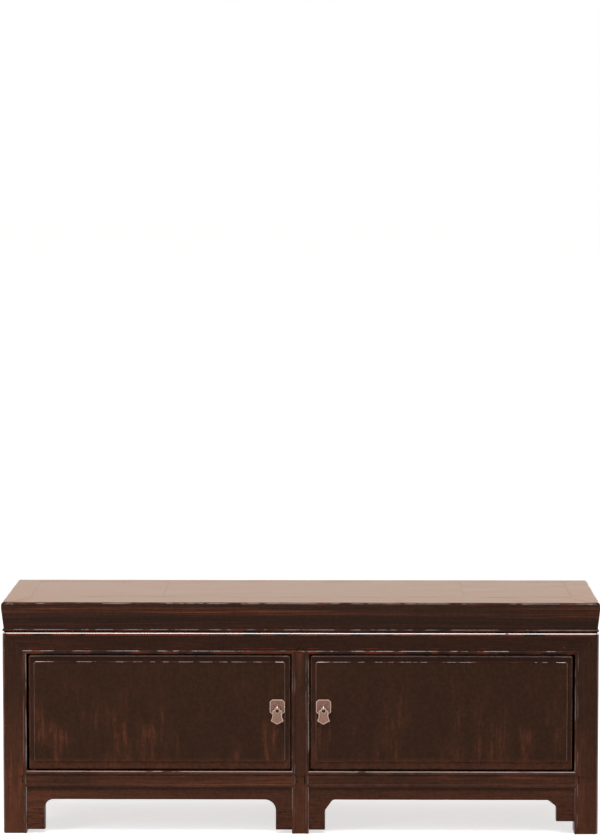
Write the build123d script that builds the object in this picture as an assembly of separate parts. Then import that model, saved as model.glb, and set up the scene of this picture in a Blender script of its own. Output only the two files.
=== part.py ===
from build123d import *
import os

# Low two-door kang cabinet of joined, lacquered wood, with brass drop pulls.
# Millimetres. X runs to the cabinet's right as seen from the front, the front faces -Y,
# and +Z is up. The origin lies on the floor, under the middle of the case.

# ---------------------------------------------------------------- case frame
case_width = 1250.0  # over the outer faces of the corner legs
case_depth = 380.0  # over the front and back faces of the legs
leg_width = 50.0  # corner legs, along X
leg_depth = 50.0  # all legs, along Y
leg_round = 4.0  # rounded outer arris of each corner leg
centre_leg_width = 36.0
bottom_rail_underside = 98.0  # floor to the bottom rails
bottom_rail_height = 35.0
opening_height = 248.0  # door opening, between bottom and top rail
top_rail_height = 47.0
rail_depth = 40.0  # front and back rails, along Y
side_rail_thickness = 40.0  # side rails, along X
cross_rail_width = 36.0  # front-to-back rails between the centre legs
mitre_depth = 10.0  # how deep the mitred shoulders reach behind the front face
bead_width = 8.0  # raised bead round each opening
bead_proud = 2.0

# ---------------------------------------------------------------- joinery
tenon_thickness = 12.0
tenon_shoulder = 8.0  # tenon set back from a rail's upper and lower edge
corner_tenon = 22.0  # length of a front or back rail's tenon in a corner leg
side_tenon = 22.0  # length of a side rail's tenon in a corner leg
centre_tenon = 13.0  # length of a bottom rail's tenon in a centre leg
cross_tenon = 12.0  # length of a cross rail's tenon
leg_tenon_side = 18.0  # square stub on a leg's top
leg_tenon_height = 28.0
centre_leg_tenon_height = 20.0
mortise_room = 1.0  # a mortise is this much deeper than its tenon
tongue = 8.0  # how far a panel enters its groove
tongue_room = 1.0  # a groove is this much deeper than its tongue
mitre_room = 1.0  # a cutting prism stands this far beyond the faces it cuts

# ---------------------------------------------------------------- panels and floor
side_panel_thickness = 10.0
side_panel_inset = 10.0  # behind the case's side face
back_panel_thickness = 10.0
back_panel_inset = 10.0  # in from the case's back face
floor_thickness = 12.0
floor_drop = 5.0  # floor surface below the bottom rails' upper edge
notch_room = 1.0  # between a floor board's notch and the leg in it

# ---------------------------------------------------------------- top
top_edge_height = 62.0  # moulded edge with its bead
top_overhang = 2.0  # widest line of the edge beyond the case
top_round = 9.0  # rounding of the upper arris
top_band = 2.0  # upright band between the rounding and the taper
top_taper = 4.5  # the edge's face falls back by this towards the bead
top_bead_height = 6.0
top_bead_proud = 2.5  # bead beyond the foot of the tapered face
top_front_rail_width = 92.0
top_back_rail_width = 40.0
top_end_rail_width = 55.0
top_board_thickness = 18.0
top_tongue_thickness = 7.0
top_mitre_shift = 1.0  # the mitres meet the end faces this far in from the corners
seam_left_x = -292.0  # joints between the three boards of the top
seam_right_x = 345.0
batten_width = 40.0
batten_height = 25.0
batten_tenon = 12.0

# ---------------------------------------------------------------- aprons and bracket feet
apron_height = 26.0  # from the bottom rail down to the crown of the arch
apron_thickness = 22.0
apron_recess = 1.5  # behind the leg's face
corner_bracket_width = 38.0
centre_bracket_width = 34.0
side_bracket_width = 34.0
corner_bracket_radius = 17.0
centre_bracket_radius = 23.0
side_bracket_radius = 20.0
bracket_lift = 8.0  # floor to a bracket's foot
worn_bracket_lift = 27.0  # the outer right bracket, worn shorter

# ---------------------------------------------------------------- doors
door_slab_thickness = 20.0
field_raise = 3.0  # raised field above the door's border
door_recess = 1.0  # field behind the frame's front face
hinge_gap = 4.0
meeting_gap = 2.5
door_top_gap = 3.0
door_bottom_gap = 2.0
door_corner_radius = 5.0
door_edge_radius = 4.0
border_side = 11.0  # width of the border round the field
border_top = 13.0
border_bottom = 17.0
field_corner_radius = 6.0
field_edge_radius = 2.0
pivot_radius = 6.0
pivot_clearance = 0.08
pivot_inset = 10.0  # pivot axis in from the door's outer edge
bottom_pivot = 12.0  # length of the pivot inside its socket
top_pivot = 14.0
pivot_root = 8.0  # length of the pivot's round root inside the slab
socket_room = 0.3  # between a pivot's end and its socket
stop_width = 10.0
stop_depth = 15.0
stop_clearance = 0.3
door_batten_height = 40.0
door_batten_thickness = 10.0
door_batten_hinge_inset = 26.0
door_batten_free_inset = 18.0
door_batten_edge_inset = 28.0  # from the door's upper or lower edge

# ---------------------------------------------------------------- drop pulls
plate_width = 34.0
plate_height = 31.0
plate_thickness = 1.4
plate_clip = 4.5  # clipped corners
plate_rim_width = 2.0
plate_rim_height = 0.8
eye_height = 134.0  # eye axis above the opening's lower edge
eye_below_plate_top = 18.0
eye_ring_radius = 5.0  # to the middle of the wire
eye_wire_radius = 1.2
eye_stand_off = 0.2  # ring clear of the plate
shank_radius = 1.7
shank_clearance = 0.3
clinch_length = 12.0  # bent ends of the split pin inside the door
clinch_width = 2.4
clinch_thickness = 1.2
drop_thickness = 2.2
drop_hole_radius = 3.0
drop_hang_clearance = 0.3  # hole's rim above the wire
drop_lobe_width = 2.8  # metal round the hole
drop_shoulder_half = 11.0
drop_shoulder_z = -10.0  # heights below are measured from the eye axis
drop_waist_half = 9.8
drop_waist_z = -17.0
drop_flare_half = 13.5
drop_flare_z = -26.5
drop_tip_z = -34.5

# ---------------------------------------------------------------- places worked out from the sizes
half_width = case_width / 2
front_y = -case_depth / 2
back_y = case_depth / 2
leg_inner_x = half_width - leg_width
centre_half = centre_leg_width / 2

rail_low_z = bottom_rail_underside
opening_low_z = rail_low_z + bottom_rail_height
opening_high_z = opening_low_z + opening_height
case_top_z = opening_high_z + top_rail_height
top_z = case_top_z + top_edge_height

front_leg_inner_y = front_y + leg_depth
back_leg_inner_y = back_y - leg_depth
front_rail_inner_y = front_y + rail_depth
back_rail_inner_y = back_y - rail_depth
rail_middle_y = front_y + rail_depth / 2
side_rail_middle_x = -half_width + side_rail_thickness / 2

field_y = front_y + door_recess
border_y = field_y + field_raise
door_back_y = border_y + door_slab_thickness
door_outer_x = -leg_inner_x + hinge_gap
door_inner_x = -centre_half - meeting_gap
door_low_z = opening_low_z + door_bottom_gap
door_high_z = opening_high_z - door_top_gap
pivot_x = door_outer_x + pivot_inset
pivot_y = border_y + door_slab_thickness / 2

top_x = half_width + top_overhang
top_y = case_depth / 2 + top_overhang
frame_inner_x = top_x - top_end_rail_width
frame_front_y = -top_y + top_front_rail_width
frame_back_y = top_y - top_back_rail_width
tongue_low_z = top_z - top_board_thickness / 2 - top_tongue_thickness / 2
tongue_high_z = tongue_low_z + top_tongue_thickness
board_low_z = top_z - top_board_thickness
batten_low_z = board_low_z - batten_height

plate_x = door_inner_x - border_side - plate_width / 2
eye_z = opening_low_z + eye_height
plate_front_y = field_y - plate_thickness
eye_y = plate_front_y - eye_stand_off - eye_wire_radius - eye_ring_radius


# ---------------------------------------------------------------- helpers
def block(x0, x1, y0, y1, z0, z1):
    """Box between two opposite corners."""
    middle = Pos((x0 + x1) / 2, (y0 + y1) / 2, (z0 + z1) / 2)
    return middle * Box(x1 - x0, y1 - y0, z1 - z0)


def upright_prism(points, y0, y1):
    """Polygon given as (x, z) corners, carried along Y."""
    outline = Polyline(*[(x, y0, z) for x, z in points], close=True)
    return extrude(make_face(outline), amount=y1 - y0, dir=(0, 1, 0))


def plan_prism(points, z0, z1):
    """Polygon given as (x, y) corners, carried up along Z."""
    outline = Polyline(*[(x, y, z0) for x, y in points], close=True)
    return extrude(make_face(outline), amount=z1 - z0, dir=(0, 0, 1))


def round_rod(x, y, z0, z1, radius):
    """Upright round rod."""
    return Pos(x, y, (z0 + z1) / 2) * Cylinder(radius, z1 - z0)


def bore_along_y(x, z, y0, y1, radius):
    """Round rod that lies along Y."""
    return Pos(x, (y0 + y1) / 2, z) * Rot(90, 0, 0) * Cylinder(radius, y1 - y0)


def mirrored(solid):
    """The same piece on the other side of the cabinet's middle plane."""
    return mirror(solid, about=Plane.YZ)


def upright_bead(x0, x1, z0, z1):
    """Raised bead on the front face, running up along Z."""
    ends = (x0, front_y, z0), (x1, front_y, z0)
    crown = ThreePointArc(ends[0], ((x0 + x1) / 2, front_y - bead_proud, z0), ends[1])
    return extrude(make_face([crown, Line(ends[1], ends[0])]), amount=z1 - z0, dir=(0, 0, 1))


def level_bead(z0, z1, x0, x1):
    """Raised bead on the front face, running along X."""
    ends = (x0, front_y, z0), (x0, front_y, z1)
    crown = ThreePointArc(ends[0], (x0, front_y - bead_proud, (z0 + z1) / 2), ends[1])
    return extrude(make_face([crown, Line(ends[1], ends[0])]), amount=x1 - x0, dir=(1, 0, 0))


def layer_prism(points):
    """Front layer of the frame, beads included, inside an (x, z) outline."""
    return upright_prism(points, front_y - bead_proud - mitre_room, front_y + mitre_depth)


def pointed_outline(x0, x1):
    """Face of a bottom rail: both ends run out to a point between 45-degree mitres."""
    reach = bottom_rail_height / 2
    middle_z = (rail_low_z + opening_low_z) / 2
    return [
        (x0, rail_low_z),
        (x0 - reach, middle_z),
        (x0, opening_low_z),
        (x1, opening_low_z),
        (x1 + reach, middle_z),
        (x1, rail_low_z),
    ]


# Face of the long top rail: mitred ends, and a notch over the centre leg's point.
top_rail_outline = [
    (-leg_inner_x, opening_high_z),
    (-leg_inner_x - top_rail_height, case_top_z),
    (leg_inner_x + top_rail_height, case_top_z),
    (leg_inner_x, opening_high_z),
    (centre_half, opening_high_z),
    (0, opening_high_z + centre_half),
    (-centre_half, opening_high_z),
]


# ---------------------------------------------------------------- tenons and grooves shared by neighbours
def rail_tenon(x0, x1, low_z, high_z, room=0.0):
    """Tenon of a front rail along X, or its mortise when room is given at both ends."""
    y0 = rail_middle_y - tenon_thickness / 2
    y1 = rail_middle_y + tenon_thickness / 2
    return block(x0 - room, x1 + room, y0, y1, low_z + tenon_shoulder, high_z - tenon_shoulder)


def side_rail_tenon(y0, y1, low_z, high_z, room=0.0):
    """Tenon of a left side rail along Y, or its mortise."""
    x0 = side_rail_middle_x - tenon_thickness / 2
    x1 = side_rail_middle_x + tenon_thickness / 2
    return block(x0, x1, y0 - room, y1 + room, low_z + tenon_shoulder, high_z - tenon_shoulder)


def cross_rail_tenon(y0, y1, low_z, high_z, room=0.0):
    """Tenon of a middle cross rail along Y, or its mortise."""
    half = tenon_thickness / 2
    return block(-half, half, y0 - room, y1 + room, low_z + tenon_shoulder, high_z - tenon_shoulder)


def corner_leg_tenon():
    """Square stub on the front left leg, which enters the top frame."""
    x = -half_width + leg_width / 2
    y = front_y + leg_depth / 2
    side = leg_tenon_side / 2
    return block(x - side, x + side, y - side, y + side, case_top_z, case_top_z + leg_tenon_height)


def centre_leg_tenon(room=0.0):
    """Stub on the front centre leg, which enters the top rail, or its mortise."""
    half = leg_tenon_side / 2
    y0 = rail_middle_y - tenon_thickness / 2
    y1 = rail_middle_y + tenon_thickness / 2
    return block(-half, half, y0, y1, opening_high_z, opening_high_z + centre_leg_tenon_height + room)


def front_to_back(solid):
    """A front piece turned over to the back of the case."""
    return mirror(solid, about=Plane.XZ)


def side_panel_space(room=0.0):
    """Left side panel with its tongues, or its grooves when room is given."""
    x0 = -half_width + side_panel_inset
    grow = tongue + room
    return block(
        x0,
        x0 + side_panel_thickness,
        front_leg_inner_y - grow,
        back_leg_inner_y + grow,
        opening_low_z - grow,
        opening_high_z + grow,
    )


def back_panel_space(room=0.0):
    """Left back panel with its tongues, or its grooves."""
    y1 = back_y - back_panel_inset
    grow = tongue + room
    return block(
        -leg_inner_x - grow,
        -centre_half + grow,
        y1 - back_panel_thickness,
        y1,
        opening_low_z - grow,
        opening_high_z + grow,
    )


def floor_space(room=0.0):
    """Left floor board with its tongues, or its grooves."""
    z1 = opening_low_z - floor_drop
    grow = tongue + room
    return block(
        -half_width + side_rail_thickness - grow,
        -cross_rail_width / 2 + grow,
        front_rail_inner_y - grow,
        back_rail_inner_y + grow,
        z1 - floor_thickness,
        z1,
    )


# ---------------------------------------------------------------- legs
def corner_leg_blank():
    """Front left leg with its rounded outer arris and its stub tenon, before any joint is cut."""
    leg = block(-half_width, -leg_inner_x, front_y, front_leg_inner_y, 0, case_top_z)
    arris = leg.edges().filter_by(Axis.Z).sort_by_distance((-half_width, front_y, case_top_z / 2))[0]
    return fillet(arris, leg_round) + corner_leg_tenon()


def side_mortises():
    """Mortises of both left side rails in the front left leg."""
    y0 = front_leg_inner_y - side_tenon
    y1 = front_leg_inner_y
    low = side_rail_tenon(y0, y1, rail_low_z, opening_low_z, mortise_room)
    high = side_rail_tenon(y0, y1, opening_high_z, case_top_z, mortise_room)
    return low + high


def corner_mortises():
    """Mortises of the front rails in the front left leg."""
    x0 = -leg_inner_x - corner_tenon
    low = rail_tenon(x0, -leg_inner_x, rail_low_z, opening_low_z, mortise_room)
    high = rail_tenon(x0, -leg_inner_x, opening_high_z, case_top_z, mortise_room)
    return low + high


def make_front_corner_leg():
    leg = corner_leg_blank()
    leg += upright_bead(-leg_inner_x - bead_width, -leg_inner_x, 0, case_top_z)
    leg -= layer_prism(top_rail_outline)
    leg -= layer_prism(pointed_outline(-leg_inner_x, -centre_half))
    leg -= corner_mortises() + side_mortises()
    return leg - side_panel_space(tongue_room)


def make_back_corner_leg():
    leg = corner_leg_blank() - corner_mortises() - side_mortises()
    leg = front_to_back(leg)
    return leg - side_panel_space(tongue_room) - back_panel_space(tongue_room)


def make_front_centre_leg():
    tip_z = opening_high_z + centre_half
    behind = block(
        -centre_half, centre_half, front_y + mitre_depth, front_leg_inner_y, 0, opening_high_z
    )
    face = block(-centre_half, centre_half, front_y, front_y + mitre_depth, 0, tip_z)
    face += upright_bead(-centre_half, -centre_half + bead_width, 0, tip_z)
    face += upright_bead(centre_half - bead_width, centre_half, 0, tip_z)
    face &= layer_prism(
        [
            (-centre_half, 0),
            (centre_half, 0),
            (centre_half, opening_high_z),
            (0, tip_z),
            (-centre_half, opening_high_z),
        ]
    )
    leg = behind + face + centre_leg_tenon()
    left_cut = layer_prism(pointed_outline(-leg_inner_x, -centre_half))
    left_cut &= block(-half_width, 0, 2 * front_y, back_y, 0, top_z)
    mortise = rail_tenon(
        -centre_half, -centre_half + centre_tenon, rail_low_z, opening_low_z, mortise_room
    )
    leg -= left_cut
    leg -= mirrored(left_cut)
    leg -= mortise
    leg -= mirrored(mortise)
    y0 = front_leg_inner_y - cross_tenon
    return leg - cross_rail_tenon(y0, front_leg_inner_y, rail_low_z, opening_low_z, mortise_room)


def make_back_centre_leg():
    leg = block(-centre_half, centre_half, front_y, front_leg_inner_y, 0, opening_high_z)
    leg += centre_leg_tenon()
    mortise = rail_tenon(
        -centre_half, -centre_half + centre_tenon, rail_low_z, opening_low_z, mortise_room
    )
    leg -= mortise
    leg -= mirrored(mortise)
    y0 = front_leg_inner_y - cross_tenon
    leg -= cross_rail_tenon(y0, front_leg_inner_y, rail_low_z, opening_low_z, mortise_room)
    groove = back_panel_space(tongue_room)
    return front_to_back(leg) - groove - mirrored(groove)


# ---------------------------------------------------------------- rails
def pivot_socket(z0, z1):
    """Round socket for a door's wooden pivot."""
    return round_rod(pivot_x, pivot_y, z0, z1, pivot_radius + pivot_clearance)


def make_front_top_rail():
    behind = block(
        -leg_inner_x,
        leg_inner_x,
        front_y + mitre_depth,
        front_rail_inner_y,
        opening_high_z,
        case_top_z,
    )
    face = block(
        -half_width, half_width, front_y, front_y + mitre_depth, opening_high_z, case_top_z
    )
    face += level_bead(opening_high_z, opening_high_z + bead_width, -half_width, half_width)
    face &= layer_prism(top_rail_outline)
    face &= block(-half_width, half_width, 2 * front_y, back_y, 0, top_z)
    tenon = rail_tenon(-leg_inner_x - corner_tenon, -leg_inner_x, opening_high_z, case_top_z)
    socket = pivot_socket(opening_high_z, opening_high_z + top_pivot + socket_room)
    rail = behind + face + tenon + mirrored(tenon)
    rail -= socket
    rail -= mirrored(socket)
    rail -= centre_leg_tenon(mortise_room)
    y0 = front_rail_inner_y - cross_tenon
    return rail - cross_rail_tenon(
        y0, front_rail_inner_y, opening_high_z, case_top_z, mortise_room
    )


def make_front_bottom_rail():
    behind = block(
        -leg_inner_x,
        -centre_half,
        front_y + mitre_depth,
        front_rail_inner_y,
        rail_low_z,
        opening_low_z,
    )
    face = block(-half_width, 0, front_y, front_y + mitre_depth, rail_low_z, opening_low_z)
    face += level_bead(opening_low_z - bead_width, opening_low_z, -half_width, 0)
    face += level_bead(rail_low_z, rail_low_z + bead_width, -half_width, 0)
    face &= layer_prism(pointed_outline(-leg_inner_x, -centre_half))
    rail = behind + face
    rail += rail_tenon(-leg_inner_x - corner_tenon, -leg_inner_x, rail_low_z, opening_low_z)
    rail += rail_tenon(-centre_half, -centre_half + centre_tenon, rail_low_z, opening_low_z)
    rail -= pivot_socket(opening_low_z - bottom_pivot - socket_room, opening_low_z)
    return rail - floor_space(tongue_room)


def make_back_top_rail():
    rail = block(
        -leg_inner_x, leg_inner_x, front_y, front_rail_inner_y, opening_high_z, case_top_z
    )
    tenon = rail_tenon(-leg_inner_x - corner_tenon, -leg_inner_x, opening_high_z, case_top_z)
    rail = rail + tenon + mirrored(tenon) - centre_leg_tenon(mortise_room)
    y0 = front_rail_inner_y - cross_tenon
    rail -= cross_rail_tenon(y0, front_rail_inner_y, opening_high_z, case_top_z, mortise_room)
    groove = back_panel_space(tongue_room)
    return front_to_back(rail) - groove - mirrored(groove)


def make_back_bottom_rail():
    rail = block(
        -leg_inner_x, -centre_half, front_y, front_rail_inner_y, rail_low_z, opening_low_z
    )
    rail += rail_tenon(-leg_inner_x - corner_tenon, -leg_inner_x, rail_low_z, opening_low_z)
    rail += rail_tenon(-centre_half, -centre_half + centre_tenon, rail_low_z, opening_low_z)
    return front_to_back(rail) - back_panel_space(tongue_room) - floor_space(tongue_room)


def make_side_rail(low_z, high_z):
    rail = block(
        -half_width,
        -half_width + side_rail_thickness,
        front_leg_inner_y,
        back_leg_inner_y,
        low_z,
        high_z,
    )
    tenon = side_rail_tenon(front_leg_inner_y - side_tenon, front_leg_inner_y, low_z, high_z)
    rail = rail + tenon + front_to_back(tenon)
    return rail - side_panel_space(tongue_room) - floor_space(tongue_room)


def make_cross_rail(front_end_y, low_z, high_z):
    half = cross_rail_width / 2
    rail = block(-half, half, front_end_y, -front_end_y, low_z, high_z)
    tenon = cross_rail_tenon(front_end_y - cross_tenon, front_end_y, low_z, high_z)
    groove = floor_space(tongue_room)
    rail = rail + tenon + front_to_back(tenon)
    rail -= groove
    return rail - mirrored(groove)


# ---------------------------------------------------------------- panels and floor
def make_floor_board():
    """Left floor board, notched round the four legs that stand in its corners."""
    board = floor_space()
    room = notch_room
    corner = block(
        -half_width, -leg_inner_x + room, front_y, front_leg_inner_y + room, 0, case_top_z
    )
    centre = block(
        -centre_half - room, centre_half, front_y, front_leg_inner_y + room, 0, case_top_z
    )
    for notch in (corner, centre, front_to_back(corner), front_to_back(centre)):
        board -= notch
    return board


# ---------------------------------------------------------------- aprons
def arch_cut(x0, x1, left_radius, right_radius, high_z):
    """Arch between two brackets: upright sides and two rounded shoulders."""
    arch = upright_prism([(x0, -high_z), (x1, -high_z), (x1, high_z), (x0, high_z)], front_y, 0)
    shoulders = arch.edges().filter_by(Axis.Y).group_by(Axis.Z)[-1].sort_by(Axis.X)
    arch = fillet(shoulders[0], left_radius)
    shoulders = arch.edges().filter_by(Axis.Y).filter_by_position(
        Axis.X, x1 - left_radius / 2, x1 + left_radius / 2
    )
    return fillet(shoulders.sort_by(Axis.Z)[-1], right_radius)


def make_front_apron(outer_lift):
    """Left front apron, cut from one board with a bracket at each end."""
    y0 = front_y + apron_recess
    y1 = y0 + apron_thickness
    crown_z = rail_low_z - apron_height
    arch_x0 = -leg_inner_x + corner_bracket_width
    arch_x1 = -centre_half - centre_bracket_width
    apron = block(-leg_inner_x, -centre_half, y0, y1, 0, rail_low_z)
    apron -= arch_cut(arch_x0, arch_x1, corner_bracket_radius, centre_bracket_radius, crown_z)
    apron -= block(-leg_inner_x, arch_x0, y0, y1, 0, outer_lift)
    return apron - block(arch_x1, -centre_half, y0, y1, 0, bracket_lift)


def make_side_apron():
    """Left side apron, made lying along X and then turned to run along Y."""
    half = (back_leg_inner_y - front_leg_inner_y) / 2
    arch_half = half - side_bracket_width
    crown_z = rail_low_z - apron_height
    apron = block(-half, half, front_y, front_y + apron_thickness, bracket_lift, rail_low_z)
    apron -= arch_cut(-arch_half, arch_half, side_bracket_radius, side_bracket_radius, crown_z)
    turned = Rot(0, 0, -90) * (Pos(0, -front_y, 0) * apron)
    return Pos(-half_width + apron_recess, 0, 0) * turned


# ---------------------------------------------------------------- top
def edge_waste(half, length, plane):
    """What a plane takes off one long side of the top to leave the taper and the bead."""
    foot = half - top_taper
    bead_top = case_top_z + top_bead_height
    bead_middle = (bead_top + case_top_z) / 2
    low_z = case_top_z - mitre_room
    far = half + mitre_room
    shoulder_z = top_z - top_round - top_band
    edges = [
        Line((half, shoulder_z), (foot, bead_top)),
        ThreePointArc(
            (foot, bead_top), (foot + top_bead_proud, bead_middle), (foot, case_top_z)
        ),
        Line((foot, case_top_z), (foot, low_z)),
        Line((foot, low_z), (far, low_z)),
        Line((far, low_z), (far, shoulder_z)),
        Line((far, shoulder_z), (half, shoulder_z)),
    ]
    return extrude(plane * make_face(edges), amount=length / 2 + mitre_room, both=True)


def make_top_block():
    """Solid block with the moulded edge on all four sides, before it is cut into rails."""
    whole = block(-top_x, top_x, -top_y, top_y, case_top_z, top_z)
    front_waste = edge_waste(top_y, 2 * top_x, Plane.YZ)
    end_waste = edge_waste(top_x, 2 * top_y, Plane.XZ)
    for waste in (front_waste, front_to_back(front_waste), end_waste, mirrored(end_waste)):
        whole -= waste
    return fillet(whole.faces().sort_by(Axis.Z)[-1].edges(), top_round)


def batten_block(x, reach):
    """Cross batten under a seam of the top, with reach beyond the frame's inner faces."""
    half = batten_width / 2
    y0 = frame_front_y - reach
    y1 = frame_back_y + reach
    return block(x - half, x + half, y0, y1, batten_low_z, board_low_z)


def make_top_rails():
    """Front, right and back members of the top frame, mitred at the corners."""
    inner = [
        (-frame_inner_x, frame_front_y),
        (frame_inner_x, frame_front_y),
        (frame_inner_x, frame_back_y),
        (-frame_inner_x, frame_back_y),
    ]
    end_y = top_y - top_mitre_shift
    corners = [(-top_x, -end_y), (top_x, -end_y), (top_x, end_y), (-top_x, end_y)]
    # Each mitre line runs from the inner corner to the outside, and as far again beyond it.
    outer = [(2 * x - u, 2 * y - v) for (x, y), (u, v) in zip(corners, inner)]
    grow = tongue + tongue_room
    groove = block(
        -frame_inner_x - grow,
        frame_inner_x + grow,
        frame_front_y - grow,
        frame_back_y + grow,
        tongue_low_z,
        tongue_high_z,
    )
    stub = corner_leg_tenon()
    cuts = [groove, stub, mirrored(stub), front_to_back(stub), front_to_back(mirrored(stub))]
    for x in (seam_left_x, seam_right_x):
        cuts.append(batten_block(x, batten_tenon + mortise_room))
    whole = make_top_block()
    rails = []
    for side in range(3):
        outline = [outer[side], outer[side + 1], inner[side + 1], inner[side]]
        rail = whole & plan_prism(outline, case_top_z - mitre_room, top_z + mitre_room)
        for cut in cuts:
            rail -= cut
        rails.append(rail)
    return rails


def make_top_board(x0, x1, left_reach, right_reach):
    """Board of the top between x0 and x1; reach is each end's tongue, negative for a groove."""
    board = block(x0, x1, frame_front_y, frame_back_y, board_low_z, top_z)
    y0 = frame_front_y - tongue
    y1 = frame_back_y + tongue
    board += block(x0, x1, y0, y1, tongue_low_z, tongue_high_z)
    for end_x, reach, outward in ((x0, left_reach, -1), (x1, right_reach, 1)):
        far_x = end_x + outward * reach
        strip = block(min(end_x, far_x), max(end_x, far_x), y0, y1, tongue_low_z, tongue_high_z)
        board = board + strip if reach > 0 else board - strip
    return board


# ---------------------------------------------------------------- doors
def make_door():
    """Left door: slab with rounded edges, raised field and a round pivot at top and bottom."""
    slab = block(door_outer_x, door_inner_x, border_y, door_back_y, door_low_z, door_high_z)
    slab = fillet(slab.edges().filter_by(Axis.Y), door_corner_radius)
    slab = fillet(slab.faces().sort_by(Axis.Y)[0].edges(), door_edge_radius)
    field = block(
        door_outer_x + border_side,
        door_inner_x - border_side,
        field_y,
        border_y,
        door_low_z + border_bottom,
        door_high_z - border_top,
    )
    field = fillet(field.edges().filter_by(Axis.Y), field_corner_radius)
    field = fillet(field.faces().sort_by(Axis.Y)[0].edges(), field_edge_radius)
    low_end = opening_low_z - bottom_pivot
    high_end = opening_high_z + top_pivot
    door = slab + field
    door += round_rod(pivot_x, pivot_y, low_end, door_low_z + pivot_root, pivot_radius)
    door += round_rod(pivot_x, pivot_y, door_high_z - pivot_root, high_end, pivot_radius)
    bore_radius = shank_radius + shank_clearance
    return door - bore_along_y(plate_x, eye_z, front_y, door_back_y, bore_radius)


def make_door_batten(low_z):
    x0 = door_outer_x + door_batten_hinge_inset
    x1 = door_inner_x - door_batten_free_inset
    y1 = door_back_y + door_batten_thickness
    return block(x0, x1, door_back_y, y1, low_z, low_z + door_batten_height)


def make_door_stop():
    """Strip on the centre leg's left side, which the left door closes against."""
    y0 = door_back_y + stop_clearance
    x0 = -centre_half - stop_width
    return block(x0, -centre_half, y0, y0 + stop_depth, opening_low_z, opening_high_z)


# ---------------------------------------------------------------- drop pulls
def clipped_outline(inset):
    """Corners of the back plate's outline, brought in by inset on every side."""
    half = plate_width / 2 - inset
    high = eye_z + eye_below_plate_top - inset
    low = eye_z + eye_below_plate_top - plate_height + inset
    clip = plate_clip - inset * (2 - 2**0.5)
    return [
        (plate_x - half + clip, low),
        (plate_x + half - clip, low),
        (plate_x + half, low + clip),
        (plate_x + half, high - clip),
        (plate_x + half - clip, high),
        (plate_x - half + clip, high),
        (plate_x - half, high - clip),
        (plate_x - half, low + clip),
    ]


def make_pull_plate():
    """Left back plate with clipped corners and a raised rim."""
    rim_y = plate_front_y - plate_rim_height
    plate = upright_prism(clipped_outline(0), rim_y, field_y)
    plate -= upright_prism(clipped_outline(plate_rim_width), rim_y, plate_front_y)
    return plate - bore_along_y(plate_x, eye_z, rim_y, field_y, shank_radius + shank_clearance)


def make_pull_eye():
    """Left split pin: a ring in front of the plate, a shank through the door, clinched ends."""
    ring = Pos(plate_x, eye_y, eye_z) * Rot(0, 90, 0) * Torus(eye_ring_radius, eye_wire_radius)
    clinch_y = door_back_y + clinch_thickness
    shank = bore_along_y(plate_x, eye_z, eye_y + eye_ring_radius, clinch_y, shank_radius)
    half = clinch_width / 2
    clinch = block(
        plate_x - half,
        plate_x + half,
        door_back_y,
        clinch_y,
        eye_z - clinch_length,
        eye_z + clinch_length,
    )
    return ring + shank + clinch


def make_pull_drop():
    """Left drop: a flat bell-shaped plate that hangs by its hole on the ring."""
    wire_inner = eye_ring_radius - eye_wire_radius
    hole_z = -(wire_inner - drop_hang_clearance + drop_hole_radius)
    lobe = drop_hole_radius + drop_lobe_width

    def half_outline(side):
        shoulder = (side * drop_shoulder_half, drop_shoulder_z)
        waist = (side * drop_waist_half, drop_waist_z)
        flare = (side * drop_flare_half, drop_flare_z)
        return [
            Line((0, drop_shoulder_z), shoulder),
            ThreePointArc(shoulder, waist, flare),
            Line(flare, (0, drop_tip_z)),
            Line((0, drop_tip_z), (0, drop_shoulder_z)),
        ]

    bell = make_face(half_outline(-1)) + make_face(half_outline(1))
    face = bell + Pos(0, hole_z) * Circle(lobe) - Pos(0, hole_z) * Circle(drop_hole_radius)
    drop = extrude(Plane.XZ * face, amount=drop_thickness / 2, both=True)
    return Pos(plate_x, eye_y, eye_z) * drop


# ---------------------------------------------------------------- all pieces, each in its own file
nodes = {
    "leg_front_left": make_front_corner_leg(),
    "leg_front_centre": make_front_centre_leg(),
    "leg_back_left": make_back_corner_leg(),
    "leg_back_centre": make_back_centre_leg(),
    "rail_front_top": make_front_top_rail(),
    "rail_front_bottom_left": make_front_bottom_rail(),
    "rail_back_top": make_back_top_rail(),
    "rail_back_bottom_left": make_back_bottom_rail(),
    "rail_side_top_left": make_side_rail(opening_high_z, case_top_z),
    "rail_side_bottom_left": make_side_rail(rail_low_z, opening_low_z),
    "rail_cross_top": make_cross_rail(front_rail_inner_y, opening_high_z, case_top_z),
    "rail_cross_bottom": make_cross_rail(front_leg_inner_y, rail_low_z, opening_low_z),
    "panel_side_left": side_panel_space(),
    "panel_back_left": back_panel_space(),
    "floor_board_left": make_floor_board(),
    "apron_front_left": make_front_apron(bracket_lift),
    "apron_front_right": mirrored(make_front_apron(worn_bracket_lift)),
    "apron_side_left": make_side_apron(),
    "top_board_left": make_top_board(-frame_inner_x, seam_left_x, tongue, tongue),
    "top_board_middle": make_top_board(
        seam_left_x, seam_right_x, -tongue - tongue_room, -tongue - tongue_room
    ),
    "top_board_right": make_top_board(seam_right_x, frame_inner_x, tongue, tongue),
    "top_batten_left": batten_block(seam_left_x, batten_tenon),
    "top_batten_right": batten_block(seam_right_x, batten_tenon),
    "door_left": make_door(),
    "door_batten_upper_left": make_door_batten(
        door_high_z - door_batten_edge_inset - door_batten_height
    ),
    "door_batten_lower_left": make_door_batten(door_low_z + door_batten_edge_inset),
    "door_stop_left": make_door_stop(),
    "pull_plate_left": make_pull_plate(),
    "pull_eye_left": make_pull_eye(),
    "pull_drop_left": make_pull_drop(),
}
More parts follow.
